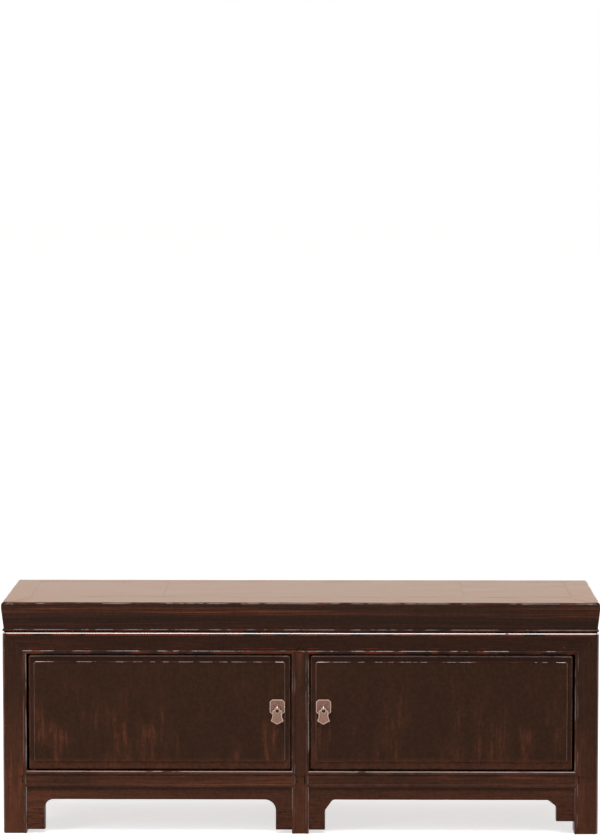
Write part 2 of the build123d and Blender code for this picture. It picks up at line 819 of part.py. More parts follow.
for name, rail in zip(("top_rail_front", "top_rail_right", "top_rail_back"), make_top_rails()):
    nodes[name] = rail
nodes["top_rail_left"] = mirrored(nodes["top_rail_right"])

# Every left-hand piece that has no right-hand one of its own is mirrored.
for name in list(nodes):
    right_name = name.replace("_left", "_right")
    if right_name not in nodes:
        nodes[right_name] = mirrored(nodes[name])

os.makedirs("parts", exist_ok=True)
for name, solid in nodes.items():
    solid.label = name
    export_step(solid, f"parts/{name}.step")

print(len(nodes), "pieces")
print("case", case_width, "x", case_depth, "top surface at", top_z)
print("left door pivot at", pivot_x, pivot_y, "left eye at", plate_x, eye_y, eye_z)
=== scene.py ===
# %% [markdown]
# # A low kang cabinet in worn dark lacquer
# The cabinet is a joined case on three pairs of legs, with a thick moulded top, two doors and two
# brass drop pulls. Each wooden member is remade here as its own surface, in the place of the plain
# solid of the same name, so that joints, beads and worn edges come from geometry. The cabinet's
# lengths are in millimetres until a mesh is written, and become metres there. The room, its lamps
# and the camera are in metres from the start.

import bpy
import numpy as np
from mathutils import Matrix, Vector


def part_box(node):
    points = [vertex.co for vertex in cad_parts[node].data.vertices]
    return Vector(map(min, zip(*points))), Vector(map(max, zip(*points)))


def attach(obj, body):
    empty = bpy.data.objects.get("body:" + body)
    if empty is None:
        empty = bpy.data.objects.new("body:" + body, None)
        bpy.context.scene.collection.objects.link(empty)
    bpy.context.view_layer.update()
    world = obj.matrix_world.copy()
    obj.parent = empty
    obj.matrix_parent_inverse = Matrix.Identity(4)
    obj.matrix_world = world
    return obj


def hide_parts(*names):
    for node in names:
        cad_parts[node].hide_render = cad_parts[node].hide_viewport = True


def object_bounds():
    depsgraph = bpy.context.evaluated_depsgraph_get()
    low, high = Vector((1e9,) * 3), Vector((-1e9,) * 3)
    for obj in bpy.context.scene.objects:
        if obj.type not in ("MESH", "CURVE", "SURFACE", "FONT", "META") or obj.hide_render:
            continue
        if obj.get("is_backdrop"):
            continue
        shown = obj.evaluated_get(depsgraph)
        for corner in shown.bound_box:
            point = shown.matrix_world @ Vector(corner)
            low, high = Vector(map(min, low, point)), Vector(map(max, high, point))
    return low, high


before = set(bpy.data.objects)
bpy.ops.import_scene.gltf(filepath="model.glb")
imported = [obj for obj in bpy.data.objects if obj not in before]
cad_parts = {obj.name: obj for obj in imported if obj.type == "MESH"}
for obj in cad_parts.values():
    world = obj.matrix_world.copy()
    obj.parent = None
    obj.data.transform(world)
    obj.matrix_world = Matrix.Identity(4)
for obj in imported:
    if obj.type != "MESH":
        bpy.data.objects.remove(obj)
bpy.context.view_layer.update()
link = bpy.context.scene.collection.objects.link  # puts an object into the scene

# %% [markdown]
# ## Camera
# A long lens, far away and a little above the top, looks at the front. The long lens keeps the
# upright edges parallel, as a furniture maker's catalogue does. The cabinet sits low in a tall
# frame, which comes from the slight downward tilt alone.

# %% Set the camera
FRAME_TALL_PX = 835
FOCAL_PX = 3411  # focal length measured in pixels of the finished image
SENSOR_MM = 36.0
CAMERA_PLACE, TILT_DOWN, TURN = (0.077, -7.273, 1.432), 4.47, 0.63  # metres and degrees

eye = bpy.data.cameras.new("eye")
eye.sensor_width = SENSOR_MM
eye.lens = FOCAL_PX / FRAME_TALL_PX * SENSOR_MM
camera = bpy.data.objects.new("camera", eye)
camera.location = CAMERA_PLACE
camera.rotation_euler = np.radians([90 - TILT_DOWN, 0.0, TURN])
link(camera)
bpy.context.scene.camera = camera
bpy.context.scene.view_settings.view_transform = "Standard"
print("lens", round(eye.lens, 1), "mm")

# %% [markdown]
# ## Node helpers
# A material is a small graph of nodes. It could be drawn by hand in the shader editor; in code, a
# small class keeps it short. One call places a node and wires its inputs: an input given as a
# socket is linked, and any other value is set on the node itself.

# %% Node helpers
class Graph:
    """The nodes of a material, a world or a group, with a short call for each common step."""

    def __init__(self, tree):
        self.tree = tree

    def node(self, kind, inputs=(), **settings):
        """Adds one node; inputs is a dict from socket name or number to a value or a socket."""
        node = self.tree.nodes.new(kind if kind.startswith("NodeGroup") else "ShaderNode" + kind)
        for key, value in settings.items():
            setattr(node, key, value)
        for key, value in dict(inputs).items():
            if isinstance(value, bpy.types.NodeSocket):
                self.tree.links.new(value, node.inputs[key])
            else:
                node.inputs[key].default_value = value
        return node

    def out(self, kind, inputs=(), **settings):
        """Adds one node and gives its first output."""
        return self.node(kind, inputs, **settings).outputs[0]

    def add(self, total, *terms):
        """Adds masks together and keeps the result between nothing and one."""
        for term in terms:
            total = self.out("Math", {0: total, 1: term}, use_clamp=True)
        return total

    def times(self, total, *factors):
        """Multiplies masks or numbers."""
        for factor in factors:
            total = self.out("Math", {0: total, 1: factor}, operation="MULTIPLY")
        return total

    def between(self, value, low, high, new_low=0.0, new_high=1.0):
        """Reads how far a value lies from low to high, as a share that is kept between its ends."""
        inputs = {"Value": value, "From Min": low, "From Max": high}
        inputs |= {"To Min": new_low, "To Max": new_high}
        return self.out("MapRange", inputs, interpolation_type="SMOOTHSTEP")

    def blend(self, mask, under, over, **settings):
        """Lays one colour over another through a mask."""
        inputs = {"Factor": mask, 6: under, 7: over}
        return self.node("Mix", inputs, data_type="RGBA", **settings).outputs[2]

    def use(self, effect, **inputs):
        """Places a shared effect, with this material's own values."""
        return self.node("Group", inputs, node_tree=effect.tree).outputs

    def surface(self, shader):
        """Ends a material: sends its shader to the output."""
        self.node("OutputMaterial", {"Surface": shader})


def empty_graph(owner):
    """Clears the nodes of a material or a world, so that they can be placed anew."""
    owner.use_nodes = True
    owner.node_tree.nodes.clear()
    return Graph(owner.node_tree)


print("short calls:", [name for name in vars(Graph) if not name.startswith("_")])

# %% [markdown]
# ## Studio
# The room is a plain white one. Rays from the camera, and rays that leave a glossy or a clear
# surface, meet pure white, so that the background is white and so are the reflections. The light
# that falls on the wood is another matter: it is set to a plain level, at which a colour looks
# about as it is written. Light Path tells the two kinds of ray apart.

# %% White room
AMBIENT, WHITE = 0.42, (1, 1, 1, 1)


def sees_white(graph):
    """Mask that is one for the rays that have to meet plain white."""
    path = graph.node("LightPath").outputs
    return graph.add(path["Is Camera Ray"], path["Is Glossy Ray"], path["Is Transmission Ray"])


room = bpy.data.worlds.new("room")
bpy.context.scene.world = room
graph = empty_graph(room)
lit = graph.out("Background", {"Color": WHITE, "Strength": AMBIENT})
white = graph.out("Background", {"Color": WHITE, "Strength": 1.0})
mixed = graph.out("MixShader", {0: sees_white(graph), 1: lit, 2: white})
graph.node("OutputWorld", {"Surface": mixed})
print("ambient light", AMBIENT)

# %% [markdown]
# Lamps give the form. A long one hangs above and in front, so that every rounded edge that looks
# up catches a line of light, and two weaker ones stand at the sides. Far behind the cabinet stands
# a warm, softly glowing wall. The camera doesn't see it, but the polished top, seen almost along
# its surface, mirrors it, as it would mirror the wall of a real room. The wall fades out towards
# its sides, so that no hard edge shows in the top when the cabinet is seen from an angle.

# %% Soft lamps
def softbox(name, place_m, aim_m, size_m, watts):
    """Rectangular lamp that looks from one point towards another."""
    lamp = bpy.data.lights.new(name, "AREA")
    lamp.shape = "RECTANGLE"
    lamp.size, lamp.size_y = size_m
    lamp.energy = watts
    box = bpy.data.objects.new(name, lamp)
    box.location = place_m
    box.rotation_euler = (Vector(aim_m) - Vector(place_m)).to_track_quat("-Z", "Y").to_euler()
    link(box)
    print(name, watts, "W over", size_m, "m")


softbox("lamp_above", (-0.3, -1.4, 2.7), (0, 0, 0.3), (3.4, 1.2), 66)
softbox("lamp_left", (-3.0, -2.6, 1.6), (0, 0, 0.2), (0.5, 2.0), 31)
softbox("lamp_right", (3.2, -2.4, 1.4), (0, 0, 0.2), (0.5, 1.6), 6)

# %% Warm wall
WALL_GLOW, WALL_COLOUR = 1.18, (1.0, 0.664, 0.47, 1)
WALL_HALF, FULL_GLOW = 24.0, 5.0  # metres: half the wall's width, and where its glow starts to fade
WALL_BEHIND, WALL_LOW, WALL_HIGH = 20.0, 2.75, 10.0


def rectangle(u0, u1, v0, v1):
    """Its four corners, one after the other."""
    return [(u0, v0), (u1, v0), (u1, v1), (u0, v1)]


def studio_plane(name, corners):
    """One flat face that isn't part of the cabinet, with the empty graph of its material."""
    mesh = bpy.data.meshes.new(name)
    mesh.from_pydata(corners, [], [(0, 1, 2, 3)])
    plane = bpy.data.objects.new(name, mesh)
    link(plane)
    plane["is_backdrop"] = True
    mesh.materials.append(bpy.data.materials.new(name))
    return plane, empty_graph(mesh.materials[0])


wall_outline = rectangle(-WALL_HALF, WALL_HALF, WALL_LOW, WALL_HIGH)
wall, graph = studio_plane("warm_wall", [(x, WALL_BEHIND, z) for x, z in wall_outline])
wall.visible_camera = False
glow = graph.out("Emission", {"Color": WALL_COLOUR, "Strength": WALL_GLOW})
across = graph.out("SeparateXYZ", {0: graph.node("TexCoord").outputs["Object"]})
aside = graph.out("Math", {0: across}, operation="ABSOLUTE")
faded = graph.between(aside, FULL_GLOW, WALL_HALF)
graph.surface(graph.out("MixShader", {0: faded, 1: glow, 2: graph.out("BsdfTransparent")}))
print("warm wall", WALL_GLOW)

# %% [markdown]
# ## From numbers to a mesh
# Every wooden member is a grid of points that closes round on itself: one direction goes round a
# cross-section, the other goes along the member or from its middle to its rim. Neighbouring points
# make four-sided faces, and the two open ends are closed by one face each. Two attributes travel
# with the points: "fibre" is the position with the grain's direction first, so that streaks always
# run along the wood, and "edge" says how exposed a point is to hands and knocks.

# %% Faces of a grid
def grid_faces(rows, around, closed):
    """Quads between rows r, r + 1 and columns c, c + 1, where the columns wrap round."""
    r = np.arange(rows if closed else rows - 1)[:, None]
    c = np.arange(around)[None, :]
    r_next, c_next = (r + 1) % rows, (c + 1) % around
    corners = [r * around + c, r * around + c_next, r_next * around + c_next, r_next * around + c]
    return np.stack(np.broadcast_arrays(*corners), -1).reshape(-1, 4)


def looks_inward(points, quads):
    """True where the enclosed volume, the sum of a . (b x c) over the faces, comes out negative."""
    a, b, c, d = (points[quads[:, k]] for k in range(4))
    return np.sum(a * np.cross(b, c)) + np.sum(a * np.cross(c, d)) < 0


print("a closed grid of 3 rows by 4 has", len(grid_faces(3, 4, True)), "faces")

# %% Pieces
MM = 0.001
SHARP_DEGREES = 38  # two faces that meet more sharply than this keep a hard line between them


def shell(points, fibre, edge, closed=False):
    """One closed surface: a (rows, around, 3) grid with its grain position and its exposure."""
    return {"points": points, "fibre": fibre, "edge": edge, "closed": closed}


def make_piece(node, body, slot, finish, *shells):
    """Joins closed surfaces into one mesh that stands in for the plain solid of that name."""
    points, faces, fibre, edge = [], [], [], []
    for part in shells:
        rows, around = part["points"].shape[:2]
        flat = part["points"].reshape(-1, 3)
        quads = grid_faces(rows, around, part["closed"])
        first = np.arange(around)
        ends = [] if part["closed"] else [first[::-1], first + (rows - 1) * around]
        if looks_inward(flat - flat.mean(0), quads):
            quads, ends = quads[:, ::-1], [end[::-1] for end in ends]
        start = sum(len(p) for p in points)
        faces += (quads + start).tolist() + [(end + start).tolist() for end in ends]
        points.append(flat)
        fibre.append(np.broadcast_to(part["fibre"], part["points"].shape).reshape(-1, 3))
        edge.append(np.broadcast_to(part["edge"], (rows, around)).ravel())
    mesh = bpy.data.meshes.new("made_" + node)
    mesh.from_pydata((np.vstack(points) * MM).tolist(), [], faces)
    for label, kind, field, values in (
        ("fibre", "FLOAT_VECTOR", "vector", np.vstack(fibre) * MM),
        ("edge", "FLOAT", "value", np.concatenate(edge)),
    ):
        spot = mesh.attributes.new(label, kind, "POINT")
        spot.data.foreach_set(field, values.astype(np.float32).ravel())
    mesh.shade_smooth()
    mesh.set_sharp_from_angle(angle=np.radians(SHARP_DEGREES))
    mesh.materials.append(finish)
    piece = bpy.data.objects.new("made_" + node, mesh)
    link(piece)
    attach(piece, body)
    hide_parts(node)
    print(f"{piece.name}: {len(mesh.vertices)} points, {len(mesh.polygons)} faces")


# %% Left and right
OTHER_GRAIN = 700  # shift in the grain's pattern between a piece and its mirror image
SIDES = ("left", "right")


def mirrored(part):
    """The same surface on the other side of the cabinet: x changes its sign."""
    fibre = part["fibre"] + OTHER_GRAIN
    return shell(part["points"] * (-1, 1, 1), fibre, part["edge"], part["closed"])


def make_pairs(*rows):
    """Makes left pieces, and then right ones, each the mirror image of a left one of its own.

    A row is (name, body, slot, finish, build, left, right), where left and right are what build is
    given for that side, such as a seed. finish may be a pair, and {} in body stands for the side.
    """
    for number, side in enumerate(SIDES):
        for name, body, slot, finish, build, *given in rows:
            parts = build(*given[number])
            parts = parts if isinstance(parts, list) else [parts]
            if side == "right":
                parts = [mirrored(part) for part in parts]
            material = finish[number] if isinstance(finish, tuple) else finish
            make_piece(f"{name}_{side}", body.format(side), slot, material, *parts)


# %% [markdown]
# ## Cross-sections and bars
# A rail or a leg is a cross-section carried along its length. No corner made by hand is perfectly
# sharp, so each corner of a section is an arc. A Bevel modifier could round them too, but it knows
# nothing of wear, and here each point of an arc says how exposed it is. Two lead-in points on
# either side of the arc keep the flats shading flat. The raised bead that frames the openings is a
# low parabola.

# %% Rounded corners
LEADS = ((2.5, 0.9), (0.5, 0.4))  # lead-in points beside an arc: distance, most share of the room


def unit(vectors):
    """The same directions, each one long."""
    return vectors / np.linalg.norm(vectors, axis=-1, keepdims=True)


def rounded(before, corner, after, radius, steps=None):
    """Arc that touches both sides of a corner, with two lead-in points on each side.

    The arc starts radius / tan(half angle) from the corner, and its middle lies on the bisector at
    radius / sin(half angle). Points in between turn the first spoke evenly into the last one.
    """
    steps = steps or (9 if radius > 3 else 5)
    one, two = unit(before - corner), unit(after - corner)
    half = np.arccos(np.clip(one @ two, -1, 1)) / 2
    reach = radius / np.tan(half)
    middle = corner + unit(one + two) * radius / np.sin(half)
    turn = np.pi - 2 * half
    share = np.linspace(0, 1, steps)[:, None]
    spokes = np.sin((1 - share) * turn) * (corner + one * reach - middle)
    spokes = (spokes + np.sin(share * turn) * (corner + two * reach - middle)) / np.sin(turn)
    arc = middle + spokes
    room = [np.linalg.norm(spot - corner) / 2 - reach for spot in (before, after)]
    lead_in = [arc[0] + one * min(lead, share * room[0]) for lead, share in LEADS]
    lead_out = [arc[-1] + two * min(lead, share * room[1]) for lead, share in LEADS[::-1]]
    return np.vstack([lead_in, arc, lead_out])


one_corner = rounded(*np.array([(0, 20), (0, 0), (20, 0)], float), 5)
print("a 5 mm round takes", len(one_corner), "points")

# %% Sections and beads
def section(*items):
    """Closed outline from (a, b, radius, exposure) corners and (a, b, 0, exposure) plain points.

    Returns the (n, 2) points and how exposed each one is: arcs are fully exposed unless they say
    otherwise, and flats are not.
    """
    spots = np.array([item[:2] for item in items], float)
    points, edge = [], []
    for i, item in enumerate(items):
        if item[2] == 0:
            points.append(spots[i][None])
            edge.append([item[3]])
            continue
        arc = rounded(spots[i - 1], spots[i], spots[(i + 1) % len(items)], item[2])
        points.append(arc)
        exposed = item[3] if len(item) > 3 else 1.0
        edge.append([0.0] * 2 + [exposed] * (len(arc) - 4) + [0.0] * 2)
    return np.vstack(points), np.concatenate(edge)


def bead(start, end, proud, crease, exposed=1.0, crease_shade=0.4, count=9):
    """Plain points of a raised bead: a straight line plus proud * (1 - (2t - 1)^2) to its right.

    crease is 0 or -1, the end that meets the flat. Painted shade sits there, so its exposure is
    crease_shade below zero, and two more points beyond it keep that shade off the rest of the flat.
    The other end is free: it is the member's own arris, and one more point round the corner keeps
    the wear close to it.
    """
    start, end = np.array(start, float), np.array(end, float)
    t = np.insert(np.linspace(0, 1, count), [1, count - 1], [0.06, 0.94])[:, None]
    along = unit(end - start)
    side = np.array([along[1], -along[0]]) * np.sign(proud)
    curve = start + (end - start) * t + side * abs(proud) * (1 - (2 * t - 1) ** 2)
    strength = np.full(len(t), exposed)
    near_crease = [-crease_shade, 0.6 * exposed, 0.85 * exposed]
    strength[:3] = near_crease if crease == 0 else strength[:3]
    strength[-3:] = near_crease[::-1] if crease else strength[-3:]
    spots = [(a, b, 0, float(s)) for (a, b), s in zip(curve, strength)]
    wide = 0.4 + 1.4 * crease_shade
    if crease:
        flat = [(*(end + wide * along), 0, -crease_shade), (*(end + (wide + 1.2) * along), 0, 0.0)]
        return [(*(start - 1.5 * side), 0, 0.0)] + spots + flat
    flat = [(*(start - (wide + 1.2) * along), 0, 0.0), (*(start - wide * along), 0, -crease_shade)]
    return flat + spots + [(*(end - 1.5 * side), 0, 0.0)]


print("a bead takes", len(bead((0, 0), (8, 0), 2, 0)), "points")

# %% Outward directions
def outward(outline):
    """Unit vectors that point out of a closed outline, square to the line between neighbours."""
    run = np.roll(outline, -1, 0) - np.roll(outline, 1, 0)
    x, y = outline.T
    turns_left = np.sum(x * np.roll(y, -1) - y * np.roll(x, -1)) > 0
    return unit(np.stack([run[:, 1], -run[:, 0]], 1) * (1 if turns_left else -1))


square = section(*[(a, b, 1) for a, b in rectangle(0, 10, 0, 10)])
print("a 10 mm square bar's section has", len(square[0]), "points")

# %% [markdown]
# ## The hand in the surface
# Planed and lacquered wood is never quite flat, and its edges carry the knocks of a long life.
# Both are geometry here, because a smooth highlight along an edge is what gives a model away. The
# surface sinks by slow waves, and small bites are taken out of the exposed edges. Nothing is ever
# added outside the true outline, so the member keeps its size.

# %% Waves and bites
WAVES, PHASE_ROUND = 4, 0.012  # waves added up, and their turn per mm round a section
BITE_ROUND = 6  # how far a bite reaches round the section


def uneven(along, outline_run, edge, seed, wave=0.15, bite=0.7, per_metre=26):
    """Depths in mm: slow sine waves along the member, plus bell-shaped bites at random places.

    A bite is size * exp(-(distance along / width)^2) * exp(-(distance round / 6)^2) * edge.
    """
    rng = np.random.default_rng(seed)
    length = rng.uniform(70, 320, WAVES)
    phase = rng.uniform(0, 2 * np.pi, WAVES)
    turned = phase + outline_run[:, None] * PHASE_ROUND
    depth = wave * (1 + np.sin(2 * np.pi * along[..., None] / length + turned).mean(-1))
    low, high = along.min(), along.max()
    count = max(2, int(per_metre * (high - low) / 1000))
    where, round_at = rng.uniform(low, high, count), rng.uniform(0, outline_run.max(), count)
    width, size = 1.5 + 6 * rng.uniform(0, 1, count) ** 2, bite * rng.uniform(0.1, 1, count) ** 2
    bites = np.exp(-(((along[..., None] - where) / width) ** 2))
    bites *= size * np.exp(-(((outline_run[:, None] - round_at) / BITE_ROUND) ** 2))
    return depth + bites.sum(-1) * np.clip(edge, 0, 1)


metre = np.linspace(0, 1000, 400)[:, None]
depths = uneven(metre, np.zeros(1), np.ones(1), seed=1)
print("along a metre the wear goes down to", depths.max().round(2), "mm")

# %% Bars
KNOCK_ROUND = 4  # how far a knock reaches round the section
SEED_SHIFT = 61.0  # moves each piece to another place in the grain's pattern
AXES = {"x": (0, 1, 2), "y": (1, 0, 2), "z": (2, 0, 1)}


def rows_between(around, *knots):
    """Rows of positions for each point round the section: (place, count) pairs, evenly filled."""
    places = [np.broadcast_to(np.asarray(place, float), around) for place, _ in knots]
    out = [places[0][None]]
    for low, high, (_, count) in zip(places, places[1:], knots[1:]):
        out.append(low + (high - low) * (np.arange(1, count + 1) / count)[:, None])
    return np.vstack(out)


def run_along(line):
    """Distance from a line's first point to each of its points."""
    return np.concatenate([[0], np.cumsum(np.linalg.norm(np.diff(line, axis=0), axis=1))])


def bar(axis, outline, rows, seed, sink=0.0, round_ends=(0.0, 0.0), knocks=(), **hand):
    """Carries a cross-section along an axis, to the rows' own positions, and wears it.

    point(row, i) = rows[row, i] along the axis, outline[i] - depth * outward[i] across it. Near the
    ends the section draws in along quarter circles with the radii round_ends. Each knock is (place
    along, a point of the section, half width, depth), a bell-shaped dent with its own place.
    """
    points, edge = outline
    along, a, b = AXES[axis]
    depth = uneven(rows, run_along(points), edge, seed, **hand) + sink
    for where, spot, width, size in knocks:
        from_spot = np.linalg.norm(points - np.array(spot, float), axis=1)
        bell = np.exp(-(((rows - where) / width) ** 2) - (from_spot / KNOCK_ROUND) ** 2)
        depth = depth + size * bell
        edge = np.where(bell > 0.3, np.maximum(edge, 1.6 * bell - 0.5), edge)
    for radius, gap in zip(round_ends, (rows - rows[:1], rows[-1:] - rows)):
        left = np.clip(1 - gap / max(radius, 1e-6), 0, 1)
        depth = depth + radius * (1 - np.sqrt(1 - left**2))
        edge = np.where(left > 0, np.maximum(edge, 0.6 * left), edge)
    across = points - outward(points) * depth[..., None]
    grid = np.empty(rows.shape + (3,))
    grid[..., along], grid[..., a], grid[..., b] = rows, across[..., 0], across[..., 1]
    fibre = np.stack([rows, across[..., 0], across[..., 1]], -1) + seed * SEED_SHIFT
    return shell(grid, fibre, np.broadcast_to(edge, rows.shape))


short_bar = bar("x", square, rows_between(len(square[0]), (0, 0), (100, 20)), seed=1)
print("a plain bar of 100 mm is a grid of", short_bar["points"].shape)

# %% [markdown]
# ## Finishes
# The old lacquer is a thin dark film over a red-brown ground. Where it is thin, the ground shows
# as streaks that follow the grain; where hands and brooms rub, on beads and arrises, it is worn
# through and polished at once. Three effects are shared by all the finishes, so each is a node
# group with named inputs and outputs: streaks along the grain, breaks in an exposed edge, and
# scattered specks. The groups hand out masks only, and the shader stays in each material.

# %% Node groups
def effect(name, inputs, outputs):
    """Starts a node group; an input whose value is None is a vector, and the rest are numbers."""
    group = bpy.data.node_groups.new(name, "ShaderNodeTree")
    for label, value in inputs.items():
        kind = "NodeSocketVector" if value is None else "NodeSocketFloat"
        socket = group.interface.new_socket(label, in_out="INPUT", socket_type=kind)
        if value is not None:
            socket.default_value = value
    for label in outputs:
        group.interface.new_socket(label, in_out="OUTPUT", socket_type="NodeSocketFloat")
    graph = Graph(group)
    return graph, graph.node("NodeGroupInput").outputs


def squeezed(graph, vector, along, across):
    """Grain position scaled by one number along the grain and by another across it."""
    scale = graph.out("CombineXYZ", {0: along, 1: across, 2: across})
    return graph.out("VectorMath", {0: vector, 1: scale}, operation="MULTIPLY")


# %% [markdown]
# Streaks are noise whose coordinates are squeezed along the grain, so that it draws out into lines.
# A Wave texture would make lines too, but even ones, like a ruled page.

# %% Streaks along the grain
streaks, given = effect(
    "grain streaks",
    {"Vector": None, "Along": 3.0, "Across": 60.0, "Low": 0.45, "High": 0.62},
    ["Mask", "Fine"],
)
drawn = squeezed(streaks, given["Vector"], given["Along"], given["Across"])
coarse = streaks.out("TexNoise", {"Vector": drawn, "Scale": 1.0, "Detail": 4.0})
fine = streaks.out("TexNoise", {"Vector": drawn, "Scale": 5.0, "Detail": 3.0})
mask = streaks.between(coarse, given["Low"], given["High"])
streaks.node("NodeGroupOutput", {"Mask": mask, "Fine": fine})
print(streaks.tree.name, "has", len(streaks.tree.nodes), "nodes")

# %% [markdown]
# An arris is worn where a noise, longer along the grain, lies above a level, and the level sinks as
# the exposure rises. Full exposure is worn without a break, half of it in dashes. What looks up is
# polished bright; what looks sideways keeps a thin, fainter line. Exposure below zero is grime in a
# seam and painted shade in a crease, thicker in some places than in others. A Pointiness mask could
# find the edges by itself, but it wears every edge alike, and on a real cabinet each edge is rubbed
# in its own way.

# %% Edge wear
wear, given = effect(
    "edge wear",
    {"Vector": None, "Edge": 0.0, "Facing": None, "Length": 18.0, "Width": 140.0},
    ["Worn", "Polished", "Grime and shade"],
)
drawn = squeezed(wear, given["Vector"], given["Length"], given["Width"])
broken = wear.out("TexNoise", {"Vector": drawn, "Scale": 1.0, "Detail": 6.0, "Roughness": 0.62})
patch = wear.out("TexNoise", {"Vector": given["Vector"], "Scale": 22.0})
exposed = wear.out("Math", {0: given["Edge"], 1: 0.0}, operation="MAXIMUM")
level, bare_level = (
    wear.out("Math", {0: exposed, 1: -sinks, 2: start}, operation="MULTIPLY_ADD")
    for sinks, start in ((0.65, 0.95), (0.35, 0.72))
)
bared = wear.between(patch, bare_level, wear.add(bare_level, 0.15))
facing = wear.node("SeparateXYZ", {0: given["Facing"]}).outputs
upward = wear.times(
    wear.between(facing[2], 0.38, 0.54),
    wear.between(broken, level, wear.add(level, 0.045)),
    wear.between(exposed, 0.45, 1.05),
)
to_right = wear.between(facing[0], 0.25, 0.6, 0.0, 0.45)
to_left = wear.between(facing[0], -0.25, -0.6, 0.0, 0.3)
sideways = wear.times(
    wear.add(to_right, to_left),
    wear.between(broken, wear.add(level, -0.12), wear.add(level, 0.02)),
    wear.between(exposed, 0.1, 0.7),
)
# Below zero: grime in a seam, painted shade in a crease.
grime_and_shade, in_places = wear.between(given["Edge"], 0.0, -1.0), wear.between(broken, 0.4, 0.52, 0.4, 1.0)
handed_out = {"Worn": wear.times(exposed, bared), "Polished": wear.add(upward, sideways)}
wear.node("NodeGroupOutput", handed_out | {"Grime and shade": wear.times(grime_and_shade, in_places)})
print(wear.tree.name, "has", len(wear.tree.nodes), "nodes")

# %% [markdown]
# Specks are small pale dots, where grit has chipped the film. They are the few cells of a Voronoi
# pattern that a random number picks, and of those only what lies close to the cell's own centre.

# %% Specks and an empty finish
specks, given = effect("specks", {"Vector": None, "Scale": 60.0, "Radius": 0.08}, ["Mask"])
cells = specks.node("TexVoronoi", {"Vector": given["Vector"], "Scale": given["Scale"]}).outputs
rare = specks.between(specks.out("SeparateColor", {0: cells["Color"]}), 0.94, 0.97)
near = specks.between(cells["Distance"], given["Radius"], 0.0)
specks.node("NodeGroupOutput", {"Mask": specks.times(near, rare)})


def new_finish(name):
    """Empty material with the two attributes that every piece carries."""
    material = bpy.data.materials.new(name)
    graph = empty_graph(material)
    fibre = graph.node("Attribute", attribute_name="fibre").outputs["Vector"]
    edge = graph.node("Attribute", attribute_name="edge").outputs["Fac"]
    return material, graph, fibre, edge


print("node groups:", [group.name for group in bpy.data.node_groups])

# %% [markdown]
# ## Dark lacquer
# The body of the film reflects very little head-on, so its own specular level is low. The beads
# and arrises have been rubbed to a hard gloss, which a clear coat stands for: it lies only where
# the edge is exposed, and it breaks up along the edge as real polish does.

# %% Dark lacquer
DEEP, SPECK = (0.011, 0.0052, 0.0034, 1), (0.22, 0.14, 0.1, 1)  # near-black of cracks, of grime in seams and of painted shade in creases; and a speck
PAINTED_ARRIS_LIGHT = (0.165, 0.119, 0.104, 1)  # painted highlight: a grey line of light on an arris
PAINTED_SHADE = (0.0215, 0.0096, 0.0062, 1)  # painted shade: the colour of the film where shade falls under an overhang
RUBBED_THROUGH, FINE_RELIEF_M = 0.85, 0.0005


